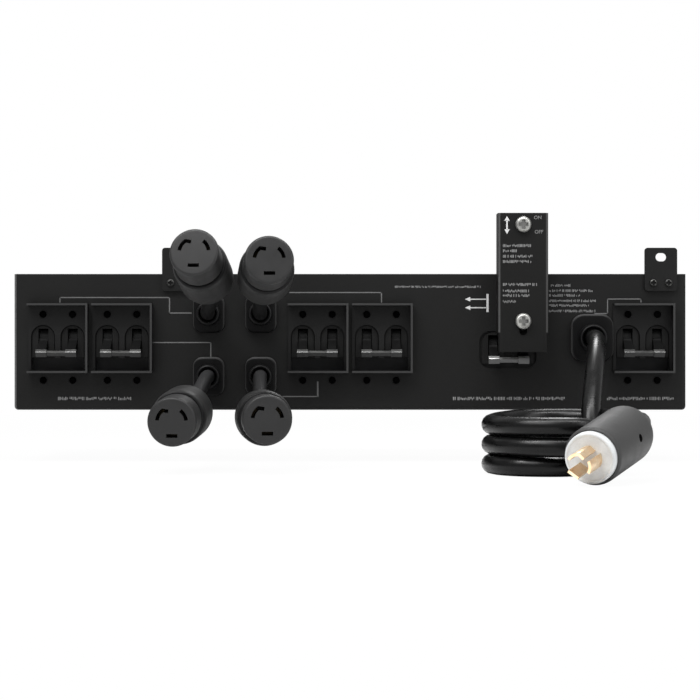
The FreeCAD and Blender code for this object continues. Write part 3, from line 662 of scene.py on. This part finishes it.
def hook_outline(radius, thickness, angle, length):
    """The short bar that turns to the right from the end of the hooked key."""
    turn, lean = math.radians(angle), math.radians(HOOK_DIRECTION)
    along, side = Vector((math.cos(lean), math.sin(lean))), Vector((-math.sin(lean), math.cos(lean)))
    root = Vector((math.cos(turn), math.sin(turn))) * radius - along * thickness * HOOK_OVERLAP
    tip, half = root + along * (length + thickness * HOOK_OVERLAP), side * thickness / 2
    return [tuple(p) for p in (root - half, tip - half, tip + half, root + half)]


def keys(radius, thickness, span, straight, hook, z0, z1):
    """The hooked, curved and straight keys, as prisms along Z; the hook is a sliver longer than its arc."""
    bar = BAR_INSET - radius
    return [prism(arc_outline(radius, thickness, HOOKED_AT, span), z0, z1),
            prism(hook_outline(radius, thickness, HOOKED_AT - span / 2, hook), z0 - SLIVER, z1 + SLIVER),
            prism(arc_outline(radius, thickness, CURVED_AT, span), z0, z1),
            block(-straight / 2, straight / 2, bar - thickness / 2, bar + thickness / 2, z0, z1)]


print("keys at", HOOKED_AT, "and", CURVED_AT, "degrees, and a bar below")

# %% [markdown]
# ## Connectors
# Each pigtail ends in a moulded hood and a grey face. The narrow neck between hood and face shows as a dark
# groove, and its faces are painted black as painted shade. Both are bodies of revolution, so they are spun, and
# the three slots are cut into the face. Faces of the mesh in the groove get a second material by their height,
# which is simpler than a mask in the shader.

# %% Connectors
PIGTAIL_ROUTES = (
    ((126.2, -4, 62.3), (126.2, -17, 62.3), (127.8, -31, 64.8),
     (130.8, -45, 69.8), (132.6, -59, 74.6), (132.0, -72, 78.0)),
    ((159.9, -4, 62.3), (159.9, -17, 62.3), (160.4, -31, 65.0),
     (161.5, -45, 70.8), (162.9, -59, 76.6), (164.3, -72, 79.2)),
    ((126.2, -4, 21.8), (126.2, -17, 21.8), (125.0, -31, 18.4),
     (122.6, -45, 11.6), (120.8, -59, 5.4), (119.8, -72, 2.8)),
    ((159.9, -4, 21.8), (159.9, -17, 21.8), (160.4, -31, 17.4),
     (161.2, -45, 8.8), (161.9, -59, 1.4), (162.6, -72, -1.4)),
)
YAW_AND_PITCH = ((-4.6, 15.5), (5.7, 10.5), (-4.9, -5.1), (6.2, -0.2))
HOOD_PROFILE = [(0, 0), (8.0, 0), (8.8, 5), (12.5, 9), (15.7, 12), (16.5, 16), (16.5, 41), (15.5, 44),
                (12.15, 44), (12.15, 38), (0, 38)]
FACE_PROFILE = [(0, 38), (12, 38), (12, 46), (14, 46), (14.5, 46.6), (14.5, 65), (13.5, 66), (0, 66)]
RIM_START = 43.3
NECK_END = 45.9

hoods, faces = [], []
for number, (route, (yaw, pitch)) in enumerate(zip(PIGTAIL_ROUTES, YAW_AND_PITCH), 1):
    yaw, pitch = math.radians(yaw), math.radians(pitch)
    axis = (math.sin(yaw) * math.cos(pitch), -math.cos(yaw) * math.cos(pitch), math.sin(pitch))
    matrix = aimed(route[-1], axis)
    hood = lathe(rounded(HOOD_PROFILE, radius=1.6))
    # painted shade: the hood's faces in the groove take the shade black
    for side in hood.faces:
        side.material_index = int(side.calc_center_median().z > RIM_START * MM)
    hoods.append(piece(f"hood_{number}", hood, hood_grey, matrix=matrix, replaces=[f"pigtail_{number}_hood"],
                       slot="connector_shell"))
    hoods[-1].data.materials.append(painted_shade_black)
    slots = keys(radius=8.6, thickness=2.2, span=46, straight=6.6, hook=3.4, z0=54, z1=68)
    face = carve(lathe(rounded(FACE_PROFILE, radius=0.9)), slots)
    # painted shade: the face's neck in the groove takes the shade black
    for side in face.faces:
        side.material_index = int(side.calc_center_median().z < NECK_END * MM)
    faces.append(piece(f"face_{number}", face, face_grey, matrix=matrix, replaces=[f"pigtail_{number}_face"],
                       slot="connector_face"))
    faces[-1].data.materials.append(painted_shade_black)
print("connectors:", len(hoods))

# %% [markdown]
# ## Rings and lofts
# A cable gland changes from a rounded rectangle at its flange to a circle at its nose. A spin can't make that
# and a stack of booleans would leave hard steps, so its skin is bridged over a stack of rings that all have
# the same number of points.

# %% Rings and lofts
GRAZE = 0.001


def slot_outline(width, height, corner=None, count=7):
    """Points round a rounded rectangle, anticlockwise; with no corner, half circles end it."""
    radius = min(width, height) / 2 - GRAZE / 2 if corner is None else corner
    points = []
    for right, top, start in ((1, 1, 0), (-1, 1, 90), (-1, -1, 180), (1, -1, 270)):
        for k in range(count + 1):
            a = math.radians(start + 90 * k / count)
            points.append((right * (width / 2 - radius) + radius * math.cos(a),
                           top * (height / 2 - radius) + radius * math.sin(a)))
    return points


def loft(rings):
    """A skin over rings of (outline, z), closed at both ends."""
    bm = bmesh.new()
    loops = []
    for outline, z in rings:
        verts = [bm.verts.new((x * MM, y * MM, z * MM)) for x, y in outline]
        loops.append([bm.edges.new((verts[k - 1], verts[k])) for k in range(len(verts))])
    for low, high in zip(loops, loops[1:]):
        bmesh.ops.bridge_loops(bm, edges=low + high)
    bmesh.ops.holes_fill(bm, edges=loops[0] + loops[-1], sides=0)
    bmesh.ops.recalc_face_normals(bm, faces=bm.faces)
    return bm


print("points in a ring:", len(slot_outline(20, 25)))

# %% [markdown]
# ## Cable glands
# A gland clamps the cord where it leaves the panel: a threaded barrel through the sheet, a flange with a
# rounded rim, a tapered nose and a mouth that the cord goes into. The mouth is modelled deep, and the nose and
# the mouth take a darker finish as painted shade, because that dark ring round the cord is what one sees of a
# gland from the front.

# %% Cable glands
PIGTAIL_CORD, CORD = 9.0, 11.5
INPUT_GLAND = (374.0, 46.5)
BARREL_DEPTH = 10
RIM_FOOT, RIM_RADIUS = 3.4, 1.6
MOUTH_CLEARANCE = 1.1
NOSE_START = 5.1
NOSE_RINGS = ((2.4, 5.2), (2.3, 5.8), (1.9, 11), (1.6, 11.7), (0.9, 12), (0.3, 11.8), (0, 11.2), (0, 4.0))


def gland(name, x, z, size, corner, cord, barrel):
    width, height = size
    mouth = cord / 2 + MOUTH_CLEARANCE
    rings = [(slot_outline(barrel, barrel), -BARREL_DEPTH), (slot_outline(barrel, barrel), -GRAZE),
             (slot_outline(width, height, corner), 0), (slot_outline(width, height, corner), RIM_FOOT)]
    for turn in (30, 60, 90):
        inset = RIM_RADIUS * (1 - math.cos(math.radians(turn)))
        rim = slot_outline(width - 2 * inset, height - 2 * inset, corner - inset)
        rings.append((rim, RIM_FOOT + RIM_RADIUS * math.sin(math.radians(turn))))
    for wall, depth in NOSE_RINGS:
        rings.append((slot_outline(2 * (mouth + wall), 2 * (mouth + wall)), depth))
    skin = loft(rings)
    # painted shade: the nose and the mouth take the shade black
    for side in skin.faces:
        side.material_index = int(side.calc_center_median().z > NOSE_START * MM)
    moulded = piece(f"{name}_moulding", skin, gland_black, matrix=aimed((x, 0, z), (0, -1, 0)),
                    replaces=[name], slot="black_moulding")
    moulded.data.materials.append(painted_shade_black)
    return moulded


glands = []
for number, route in enumerate(PIGTAIL_ROUTES, 1):
    glands.append(gland(f"pigtail_{number}_gland", route[0][0], route[0][2], size=(20, 25), corner=6.0,
                        cord=PIGTAIL_CORD, barrel=15.0))
glands.append(gland("input_gland", *INPUT_GLAND, size=(27, 31), corner=8.0, cord=CORD, barrel=20.0))
print("glands:", len(glands))

# %% [markdown]
# ## Cord helpers
# A cord is a round jacket that bends but doesn't stretch. A simulated cord would fall in its own way and not
# as in the photo, so each one is a smooth spline whose control points are the route from the CAD, with a
# round bevel. Its length is then measured on the bare curve and printed.

# %% Cord helpers


def cord(name, route, diameter, finish, replaced):
    data = bpy.data.curves.new(name, "CURVE")
    data.dimensions = "3D"
    data.bevel_depth = diameter / 2 * MM
    data.bevel_resolution = 6
    data.resolution_u = 8
    data.use_fill_caps = True
    spline = data.splines.new("NURBS")
    spline.points.add(len(route) - 1)
    for point, place in zip(spline.points, route):
        point.co = (*at(*place), 1.0)
    spline.order_u = 3
    spline.use_endpoint_u = True
    data.materials.append(finish)
    obj = bpy.data.objects.new(name, data)
    scene.collection.objects.link(obj)
    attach(obj, HOUSING)
    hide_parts(*replaced)
    return obj


def spline_length(obj):
    """The length of a cord's line, in metres, read from the curve with no bevel."""
    bare = obj.data.copy()
    bare.bevel_depth = 0.0
    probe = bpy.data.objects.new("probe", bare)
    scene.collection.objects.link(probe)
    bpy.context.view_layer.update()
    mesh = bpy.data.meshes.new_from_object(probe.evaluated_get(bpy.context.evaluated_depsgraph_get()))
    ends = [[mesh.vertices[v].co for v in edge.vertices] for edge in mesh.edges]
    length = sum((first - second).length for first, second in ends)
    bpy.data.objects.remove(probe)
    bpy.data.curves.remove(bare)
    bpy.data.meshes.remove(mesh)
    return length


print("cords can be laid and measured")

# %% [markdown]
# ## Pigtails
# Four short cords lead from the glands to the connectors. They are too short and stiff to hang, so they hold
# the gentle bend that the photo shows, and each carries its hood and face.

# %% Pigtails
for number, route in enumerate(PIGTAIL_ROUTES, 1):
    pigtail = cord(f"pigtail_{number}", route, PIGTAIL_CORD, pigtail_jacket, [f"pigtail_{number}_cord"])
    print(pigtail.name, round(spline_length(pigtail), 4))

# %% [markdown]
# ## Input cord
# The input cord drops from its gland into the middle of a coil, winds upwards in three stacked turns and
# leaves the top one for the plug. A plain helix would climb all the way round and show slanting strands. A
# cord that is coiled by hand lies level and steps up in one place, so the turns are level circles with eased
# steps near the front: the radius gives way where the cord comes in and where it passes under a step, and
# the last turn lifts a little towards the plug.

# %% Input cord
DROP_ROUTE = (
    (374.0, -4, 46.5), (374.0, -17, 46.5), (373.2, -33, 44.6), (371.4, -48, 39.5), (368.8, -62, 31.5),
    (366.0, -75.5, 20.5), (363.4, -86.8, 9.0), (361.6, -95.3, -1.5), (361.4, -100.2, -11.0),
    (361.8, -106.0, -20.0), (361.5, -116.5, -26.0), (359.7, -128.5, -28.25), (352.3, -140.4, -28.25))
TAIL_ROUTE = (
    (381.8, -117.0, -2.5), (384.2, -130.0, -2.5), (385.4, -142.0, -2.7), (383.6, -153.0, -3.4),
    (378.0, -165.0, -5.3))
COIL_CENTRE = (340.5, -115.0)
COIL_RADIUS = 40.0
COIL_ANGLES = range(90, 1066, 15)
STEPS_UP = ((370, 440), (730, 800))
COMING_IN, SPARED_AT_START = (60, 150), 9.0
PASSING_IN, PASSING_OUT, SPARED_UNDER_STEP = (290, 335), (385, 430), 7.0
LIFTING, LIFT = (890, 985), 2.8


def ease(value, low, high):
    t = min(1.0, max(0.0, (value - low) / (high - low)))
    return t * t * (3 - 2 * t)


def winding():
    """Control points of the turns, clockwise from above; they step up near the front, and the last lifts."""
    points = []
    for angle in COIL_ANGLES:
        level = sum(ease(angle, *step) for step in STEPS_UP)
        radius = COIL_RADIUS - SPARED_AT_START * (1 - ease(angle, *COMING_IN))
        radius -= SPARED_UNDER_STEP * ease(angle, *PASSING_IN) * (1 - ease(angle, *PASSING_OUT))
        turn = math.radians(-angle)
        points.append((COIL_CENTRE[0] + radius * math.cos(turn), COIL_CENTRE[1] + radius * math.sin(turn),
                       FLOOR_Z + CORD / 2 + CORD * level + LIFT * ease(angle, *LIFTING)))
    return points


input_cord = cord("input_cord", list(DROP_ROUTE) + winding() + list(TAIL_ROUTE), CORD, jacket,
                  ["input_cord_drop", "input_cord_coil", "input_cord_tail"])
print(input_cord.name, round(spline_length(input_cord), 4))

# %% [markdown]
# ## Plug shell
# The plug leans from the coil's top to the floor. Its shell is one moulding that is clamped with a screw, and
# the screw's well is the small dark hole in its side. The shell is spun and the well is cut into it from the
# side; the well's own faces are told from the skin by their place and by where they look, and painted black
# as painted shade.

# %% Plug shell
PLUG_AXIS = (-0.443, -0.8775, -0.186)
PLUG_PROFILE = [(0, 0), (7, 0), (10, 6), (13.5, 9.5), (15.7, 13), (16.5, 17), (16.1, 69), (14.9, 70.5),
                (14.4, 70.5), (14.4, 68.5), (0, 68.5)]
WELL_HEIGHT = 36.0
WELL_ANGLE = 10.0
WELL_RADIUS = 2.3
WELL_FLOOR, WELL_OUTSIDE = 12.6, 20
SKIN_RADIUS = 16.0
LOOKS_OUT = 0.98

plug_matrix = aimed(TAIL_ROUTE[-1], PLUG_AXIS)
well_turn = Matrix.Rotation(math.radians(WELL_ANGLE), 4, "Z") @ Matrix.Rotation(math.radians(90), 4, "Y")
well_profile = [(0, WELL_FLOOR), (WELL_RADIUS, WELL_FLOOR), (WELL_RADIUS, WELL_OUTSIDE), (0, WELL_OUTSIDE)]
well = lathe(well_profile, segments=32)
bmesh.ops.transform(well, matrix=Matrix.Translation((0, 0, WELL_HEIGHT * MM)) @ well_turn, verts=well.verts)
shell = carve(lathe(rounded(PLUG_PROFILE, radius=1.8)), [well])
well_faces = 0
# painted shade: the faces inside the well take the shade black
for side in shell.faces:
    middle = side.calc_center_median() / MM
    near = abs(middle.z - WELL_HEIGHT) < WELL_RADIUS + 0.1
    turned = side.normal.xy.dot(middle.xy) < LOOKS_OUT * middle.xy.length
    side.material_index = int(near and middle.xy.length < SKIN_RADIUS and turned)
    well_faces += side.material_index
plug_body = piece("plug_shell", shell, plug_grey, matrix=plug_matrix, replaces=["plug_body"],
                  slot="connector_shell")
plug_body.data.materials.append(painted_shade_black)
print("faces in the screw well:", well_faces)

# %% [markdown]
# ## Plug front
# The front is a white disc with a raised rim, and three brass blades stand in it. The disc is spun, and the
# blades are the same keys that cut the connectors' slots, turned as the plug lies.

# %% Plug front
PLUG_FACE_PROFILE = [(0, 68.5), (14.25, 68.5), (14.25, 73.7), (13.45, 74.5), (12.6, 74.5), (12.2, 74.1),
                     (0, 74.1)]
BLADE_TURN = Matrix.Rotation(math.radians(-35), 4, "Z")

plug_face = piece("plug_front", lathe(rounded(PLUG_FACE_PROFILE, radius=0.6)), white_face, matrix=plug_matrix,
                  replaces=["plug_face"], slot="white_moulding")
prongs = keys(radius=6.3, thickness=1.6, span=62, straight=6.6, hook=3.4, z0=74.05, z1=91.5)
blades = piece("plug_prongs", merged(prongs), brass, matrix=plug_matrix @ BLADE_TURN,
               replaces=["plug_blades"], slot="brass")
print("plug front and blades:", len(plug_face.data.polygons), "and", len(blades.data.polygons), "faces")

# %% [markdown]
# ## Screw heads
# A pan head is turned and its cross recess is punched. From the front the cross is what makes a head read as
# a screw, so one head of each size is spun and carved, and the faces inside the cross get a second finish,
# which paints their shade where it is darker. A screw that is needed at many holes is carved once and then
# copied, because a boolean takes time.

# %% Screw heads
FLANK, SHOULDER_RADIUS, SHOULDER = 0.45, 0.4, 0.9
ARM_HALF, RECESS_DEPTH, RECESS_REACH = 0.19, 0.75, 0.52
STEEP, NEAR_FLOOR = 0.4, 0.9
ABOVE_HEAD, ARM_STEP = 1, 0.02


def cross_head(head, height, shank, length, cross):
    """A pan-head screw along +Z from the tip of its shank, with a cross recess; z = 0 is the seat."""
    profile = rounded([(0, -length), (shank / 2, -length), (shank / 2, 0), (head / 2, 0),
                       (head / 2, height * FLANK), (head * SHOULDER_RADIUS, height * SHOULDER),
                       (0, height)], 0.9)
    wide, deep = cross * ARM_HALF, height * RECESS_DEPTH
    low, high = height - deep, height + ABOVE_HEAD
    arms = [block(-cross / 2, cross / 2, -wide, wide, low, high),
            block(-wide, wide, -cross / 2, cross / 2, low - ARM_STEP, high + ARM_STEP)]
    screw = carve(lathe(profile, segments=32), arms)
    # painted shade: the faces inside the cross take the screws' second finish
    for side in screw.faces:
        middle = side.calc_center_median() / MM
        inside = middle.z > 0 and middle.xy.length < cross * RECESS_REACH
        floor_of_cross = middle.z < height - deep * NEAR_FLOOR
        side.material_index = int(inside and (abs(side.normal.z) < STEEP or floor_of_cross))
    return screw


def repeated(bm, matrices):
    """One bmesh that holds a copy of the given one for every matrix."""
    mesh = bpy.data.meshes.new("pattern")
    bm.to_mesh(mesh)
    bm.free()
    whole = bmesh.new()
    for matrix in matrices:
        first = len(whole.verts)
        whole.from_mesh(mesh)
        whole.verts.ensure_lookup_table()
        bmesh.ops.transform(whole, matrix=matrix, verts=whole.verts[first:])
    bpy.data.meshes.remove(mesh)
    return whole


def screws(name, bm, finish, recess, **where):
    """Heads in one finish whose recesses have another, which paints their shade."""
    heads = piece(name, bm, finish, **where)
    heads.data.materials.append(recess)
    print(name, len(heads.data.polygons), "faces")


print("screws have a carved cross")

# %% [markdown]
# ## Interlock screws
# Two zinc pan heads hold the interlock plate. The upper one is captive in the plate and rides on it; the
# lower one is fixed, so that the plate can slide past it. That is why they are two pieces on two bodies.

# %% Interlock screws
FRONT = (0, -1, 0)
# Their cross recesses take the darker zinc, a painted shade.
screws("upper_pan_screw", cross_head(head=10.4, height=3.2, shank=4.8, length=17.0, cross=6.0), zinc, dull_and_shaded_zinc,
       body="interlock", matrix=aimed((328.3, -16.0, 119.1), FRONT), replaces=["interlock_upper_screw"],
       slot="zinc_steel")
screws("lower_pan_screw", cross_head(head=10.4, height=3.2, shank=4.8, length=10.1, cross=6.0), zinc, dull_and_shaded_zinc,
       matrix=aimed((328.3, -16.3, 57.2), FRONT), replaces=["interlock_lower_screw"], slot="zinc_steel")

# %% [markdown]
# ## Small screws
# Small dark heads hold the ears, the cover and the breakers. The ears' screws are seen at the front, the
# cover's at the sides and the back, and each guarded breaker has four. All heads of a size are one piece:
# one carved head, copied to every hole.

# %% Small screws
BACK, LEFT, RIGHT = (0, 1, 0), (-1, 0, 0), (1, 0, 0)
PANEL_WIDTH, CASE_DEPTH = 435, 100
EAR_MIDDLES, EAR_SCREW_REACH, EAR_FRONT, EAR_SCREW_Z = (106.5, 418.5), 4.9, -2, 82.2
SIDE_SCREW_DEPTHS, SIDE_SCREW_Z = (20, 55, 88), 80.5
BACK_SCREWS, BACK_SCREW_Z = (40, 160, 280, 395), 7
GUARDED_BREAKERS = (28.5, 70.0, 196.5, 237.9, 406.8)
POLE_PITCH = 19.05
UPPER_AND_LOWER = ((-1.2, 61.8), (0, 19.1))

case_places = [aimed((x + side * EAR_SCREW_REACH, EAR_FRONT, EAR_SCREW_Z), FRONT)
               for x in EAR_MIDDLES for side in (-1, 1)]
case_places += [aimed((x, y, SIDE_SCREW_Z), out)
                for x, out in ((0, LEFT), (PANEL_WIDTH, RIGHT)) for y in SIDE_SCREW_DEPTHS]
case_places += [aimed((x, CASE_DEPTH, BACK_SCREW_Z), BACK) for x in BACK_SCREWS]
case_head = cross_head(head=4.9, height=1.6, shank=3.0, length=6.0, cross=3.5)
# The ear, side and back screws take the shade black in their crosses, as painted shade.
screws("case_pan_screws", repeated(case_head, case_places), case_steel, painted_shade_black,
       replaces=["case_screws"], slot="dark_steel")
breaker_places = [aimed((x + side * POLE_PITCH / 2, y, z), FRONT) for x in GUARDED_BREAKERS
                  for side in (-1, 1) for y, z in UPPER_AND_LOWER]
breaker_head = cross_head(head=4.6, height=1.6, shank=3.4, length=8.0, cross=3.6)
screws("breaker_pan_screws", repeated(breaker_head, breaker_places), dark_steel, dark_steel,
       replaces=["breaker_screws"], slot="dark_steel")
print("small screws:", len(case_places) + len(breaker_places))

# %% [markdown]
# ## Marks of ink
# Print could be a picture on the panel, but that would need a file and would blur up close. Each mark is a
# very thin raised field of ink on the sheet instead. Its place is read off the photo: a line of sight through
# a pixel meets the panel, or a plane in front of it, at one point. Small print is rows of short upright bars,
# which look like lettering from afar.

# %% Marks of ink
INK = 0.06
FACING = Matrix(((1, 0, 0, 0), (0, 0, -1, 0), (0, 1, 0, 0), (0, 0, 0, 1)))
TO_PANEL = Matrix.Translation(at(0, 0, 0)) @ FACING
BAR_WIDTHS = (0.16, 0.36)
BAR_SHAPES = ((0.0, 0.0), (0.0, 0.0), (0.0, 0.35), (0.35, 0.0), (0.2, 0.2))
BAR_GAPS = (0.2, 0.2, 0.2, 0.2, 0.2, 0.2, 0.2, 0.6)


def mark(x0, x1, z0, z1, y):
    return block(x0, x1, z0, z1, -y, -y + INK)


def photo_to_panel(px, py, depth=0.0):
    """Where the line of sight through a pixel meets the plane depth millimetres in front of the panel."""
    share = (VIEW_DISTANCE - depth) / VIEW_DISTANCE * PIXEL
    middle = PHOTO_SIDE / 2
    return VIEW_CENTRE[0] + (px - middle) * share, VIEW_CENTRE[1] + (middle - py) * share


def line(points, width, depth=0.0):
    """A bent line of ink along pixels of the photo, with square corners."""
    half, strokes = width / 2, []
    places = [photo_to_panel(px, py, depth) for px, py in points]
    for (xa, za), (xb, zb) in zip(places, places[1:]):
        (left, right), (low, high) = sorted((xa, xb)), sorted((za, zb))
        strokes.append(mark(left - half, right + half, low - half, high + half, -depth))
    return strokes


def lettering(px0, px1, py, height, depth=0.0):
    """A row of fine upright bars, like print too small to read."""
    x, z = photo_to_panel(px0, py, depth)
    end = photo_to_panel(px1, py, depth)[0]
    bars = []
    while x < end - height * 0.3:
        width = min(end - x, height * random.uniform(*BAR_WIDTHS))
        foot, head = random.choice(BAR_SHAPES)
        bars.append(mark(x, x + width, z - height * (0.5 - foot), z + height * (0.5 - head), -depth))
        x += width + height * random.choice(BAR_GAPS)
    return bars


print("ink stands", INK, "mm proud")

# %% [markdown]
# ## Guide lines
# Thin bent lines lead from each breaker to the gland or the words that belong to it. They are strokes along
# the photo's pixels, all of one width, joined into one piece.

# %% Guide lines
LINE_WIDTH = 0.7
GUIDE_LINES = (
    ((60, 302), (60, 297.5), (169.5, 297.5), (169.5, 313), (191, 313)),
    ((153, 342.5), (210.8, 342.5), (210.8, 356.5)),
    ((318, 382), (317.5, 396.5), (283, 396.5)),
    ((381.5, 302), (381.5, 292.5), (290, 292.5)),
    ((595, 313.5), (607.5, 313.5), (607.5, 299), (641, 299), (641, 302)),
)
strokes = [stroke for points in GUIDE_LINES for stroke in line(points, LINE_WIDTH)]
print("strokes in the guide lines:", len(strokes))
piece("guide_lines", merged(strokes), ink, matrix=TO_PANEL)

# %% [markdown]
# ## Panel print
# The panel has one row at the top, a note of six rows beside the plate, and three titles along the bottom.
# Two bold arrows point from an upright bar to the left. Rows are (pixel row, first column, last column).

# %% Panel print
NOTE_ROWS = ((285.5, 551, 571), (290.7, 549, 593), (295.4, 549, 581), (300.8, 549, 596), (305.5, 549, 589),
             (311, 549, 597))
TITLE_ROW, TITLES = 398.5, ((58, 133), (453, 566), (607, 675))
TOP_LETTERS, NOTE_LETTERS, TITLE_LETTERS = 1.4, 1.6, 2.1
HEAD_LENGTH, HEAD_HALF, SHAFT_START, SHAFT_HALF = 3.4, 1.5, 3.2, 0.35
ARROW_TIP, ARROW_TAIL, ARROW_ROWS = 465, 486, (299.2, 307.7)
ARROW_BAR, BAR_WIDTH = ((487.5, 295), (487.5, 311)), 1.4


def arrow(px_tip, px_tail, py):
    """An arrow to the left: a shaft and a head."""
    (x0, z), (x1, _) = photo_to_panel(px_tip, py), photo_to_panel(px_tail, py)
    head = prism([(x0, z), (x0 + HEAD_LENGTH, z - HEAD_HALF), (x0 + HEAD_LENGTH, z + HEAD_HALF)], 0, INK)
    return [mark(x0 + SHAFT_START, x1, z - SHAFT_HALF, z + SHAFT_HALF, 0), head]


words = lettering(395, 481, 286.8, TOP_LETTERS)
for row, start, end in NOTE_ROWS:
    words += lettering(start, end, row, NOTE_LETTERS)
for start, end in TITLES:
    words += lettering(start, end, TITLE_ROW, TITLE_LETTERS)
print("bars on the panel:", len(words))
piece("lettering", merged(words), letter_ink, matrix=TO_PANEL)
arrows = [part for row in ARROW_ROWS for part in arrow(ARROW_TIP, ARROW_TAIL, row)]
arrows += line(ARROW_BAR, BAR_WIDTH)
piece("arrows", merged(arrows), bright_ink, matrix=TO_PANEL)

# %% [markdown]
# ## Plate print
# The interlock plate has two notes and an arrow that points up and down, the way it slides. They are printed
# on its front and slide with it, so they ride on the interlock's body.

# %% Plate print
PLATE_FRONT, PLATE_LETTERS = 16.0, 1.8
SLIDE_ARROW = (507, 216, 234)
PLATE_ROWS = ((245.6, 503, 532), (250.8, 503, 517), (256.3, 503, 533), (261.5, 503, 532),
              (284.5, 503, 537), (291, 503, 530), (295.5, 503, 530), (301.5, 503, 517))
TALL_HEAD, TALL_HEAD_HALF, TALL_SHAFT_INSET, TALL_SHAFT_HALF = 3.0, 1.7, 2.8, 0.5


def up_and_down(px, py_top, py_low, depth):
    """An upright arrow with a head at each end."""
    (x, high), (_, low) = photo_to_panel(px, py_top, depth), photo_to_panel(px, py_low, depth)
    foot, top = low + TALL_SHAFT_INSET, high - TALL_SHAFT_INSET
    parts = [mark(x - TALL_SHAFT_HALF, x + TALL_SHAFT_HALF, foot, top, -depth)]
    for end, side in ((high, 1), (low, -1)):
        root = end - side * TALL_HEAD
        head = [(x - TALL_HEAD_HALF, root), (x + TALL_HEAD_HALF, root), (x, end)]
        parts.append(prism(head, depth, depth + INK))
    return parts


plate_words = []
for row, start, end in PLATE_ROWS:
    plate_words += lettering(start, end, row, PLATE_LETTERS, PLATE_FRONT)
print("bars on the plate:", len(plate_words))
piece("plate_lettering", merged(plate_words), letter_ink, body="interlock", matrix=TO_PANEL)
slide_arrow = merged(up_and_down(*SLIDE_ARROW, PLATE_FRONT))
piece("plate_arrow", slide_arrow, bright_ink, body="interlock", matrix=TO_PANEL)

# %% [markdown]
# ## Words
# ON and OFF stand beside the upper screw. They are plain words that any switch may carry, so they are real
# letters: a text object gives their outlines, and it is made a mesh before its place is applied.

# %% Words
WORD_HEIGHT = 2.2
CAPITAL_SHARE = 0.7


def word(name, text, px, py, height, depth, body, finish):
    """A flat word, centred on a pixel of the photo."""
    data = bpy.data.curves.new(name, "FONT")
    data.body = text
    data.size = height / CAPITAL_SHARE * MM
    data.align_x = "CENTER"
    data.align_y = "CENTER"
    data.extrude = INK / 2 * MM
    data.materials.append(finish)
    letters = bpy.data.objects.new(name, data)
    scene.collection.objects.link(letters)
    bpy.context.view_layer.update()
    mesh = bpy.data.meshes.new_from_object(letters.evaluated_get(bpy.context.evaluated_depsgraph_get()))
    bpy.data.objects.remove(letters)
    bm = bmesh.new()
    bm.from_mesh(mesh)
    bpy.data.meshes.remove(mesh)
    x, z = photo_to_panel(px, py, depth)
    place = Matrix.Translation(at(x, -depth - INK / 2, z)) @ FACING
    return piece(name, bm, finish, body=body, matrix=place)


for name, text, column, row in (("word_on", "ON", 537.8, 217.6), ("word_off", "OFF", 538.9, 232)):
    letters = word(name, text, column, row, WORD_HEIGHT, PLATE_FRONT, "interlock", letter_ink)
    print(letters.name, len(letters.data.polygons), "faces")
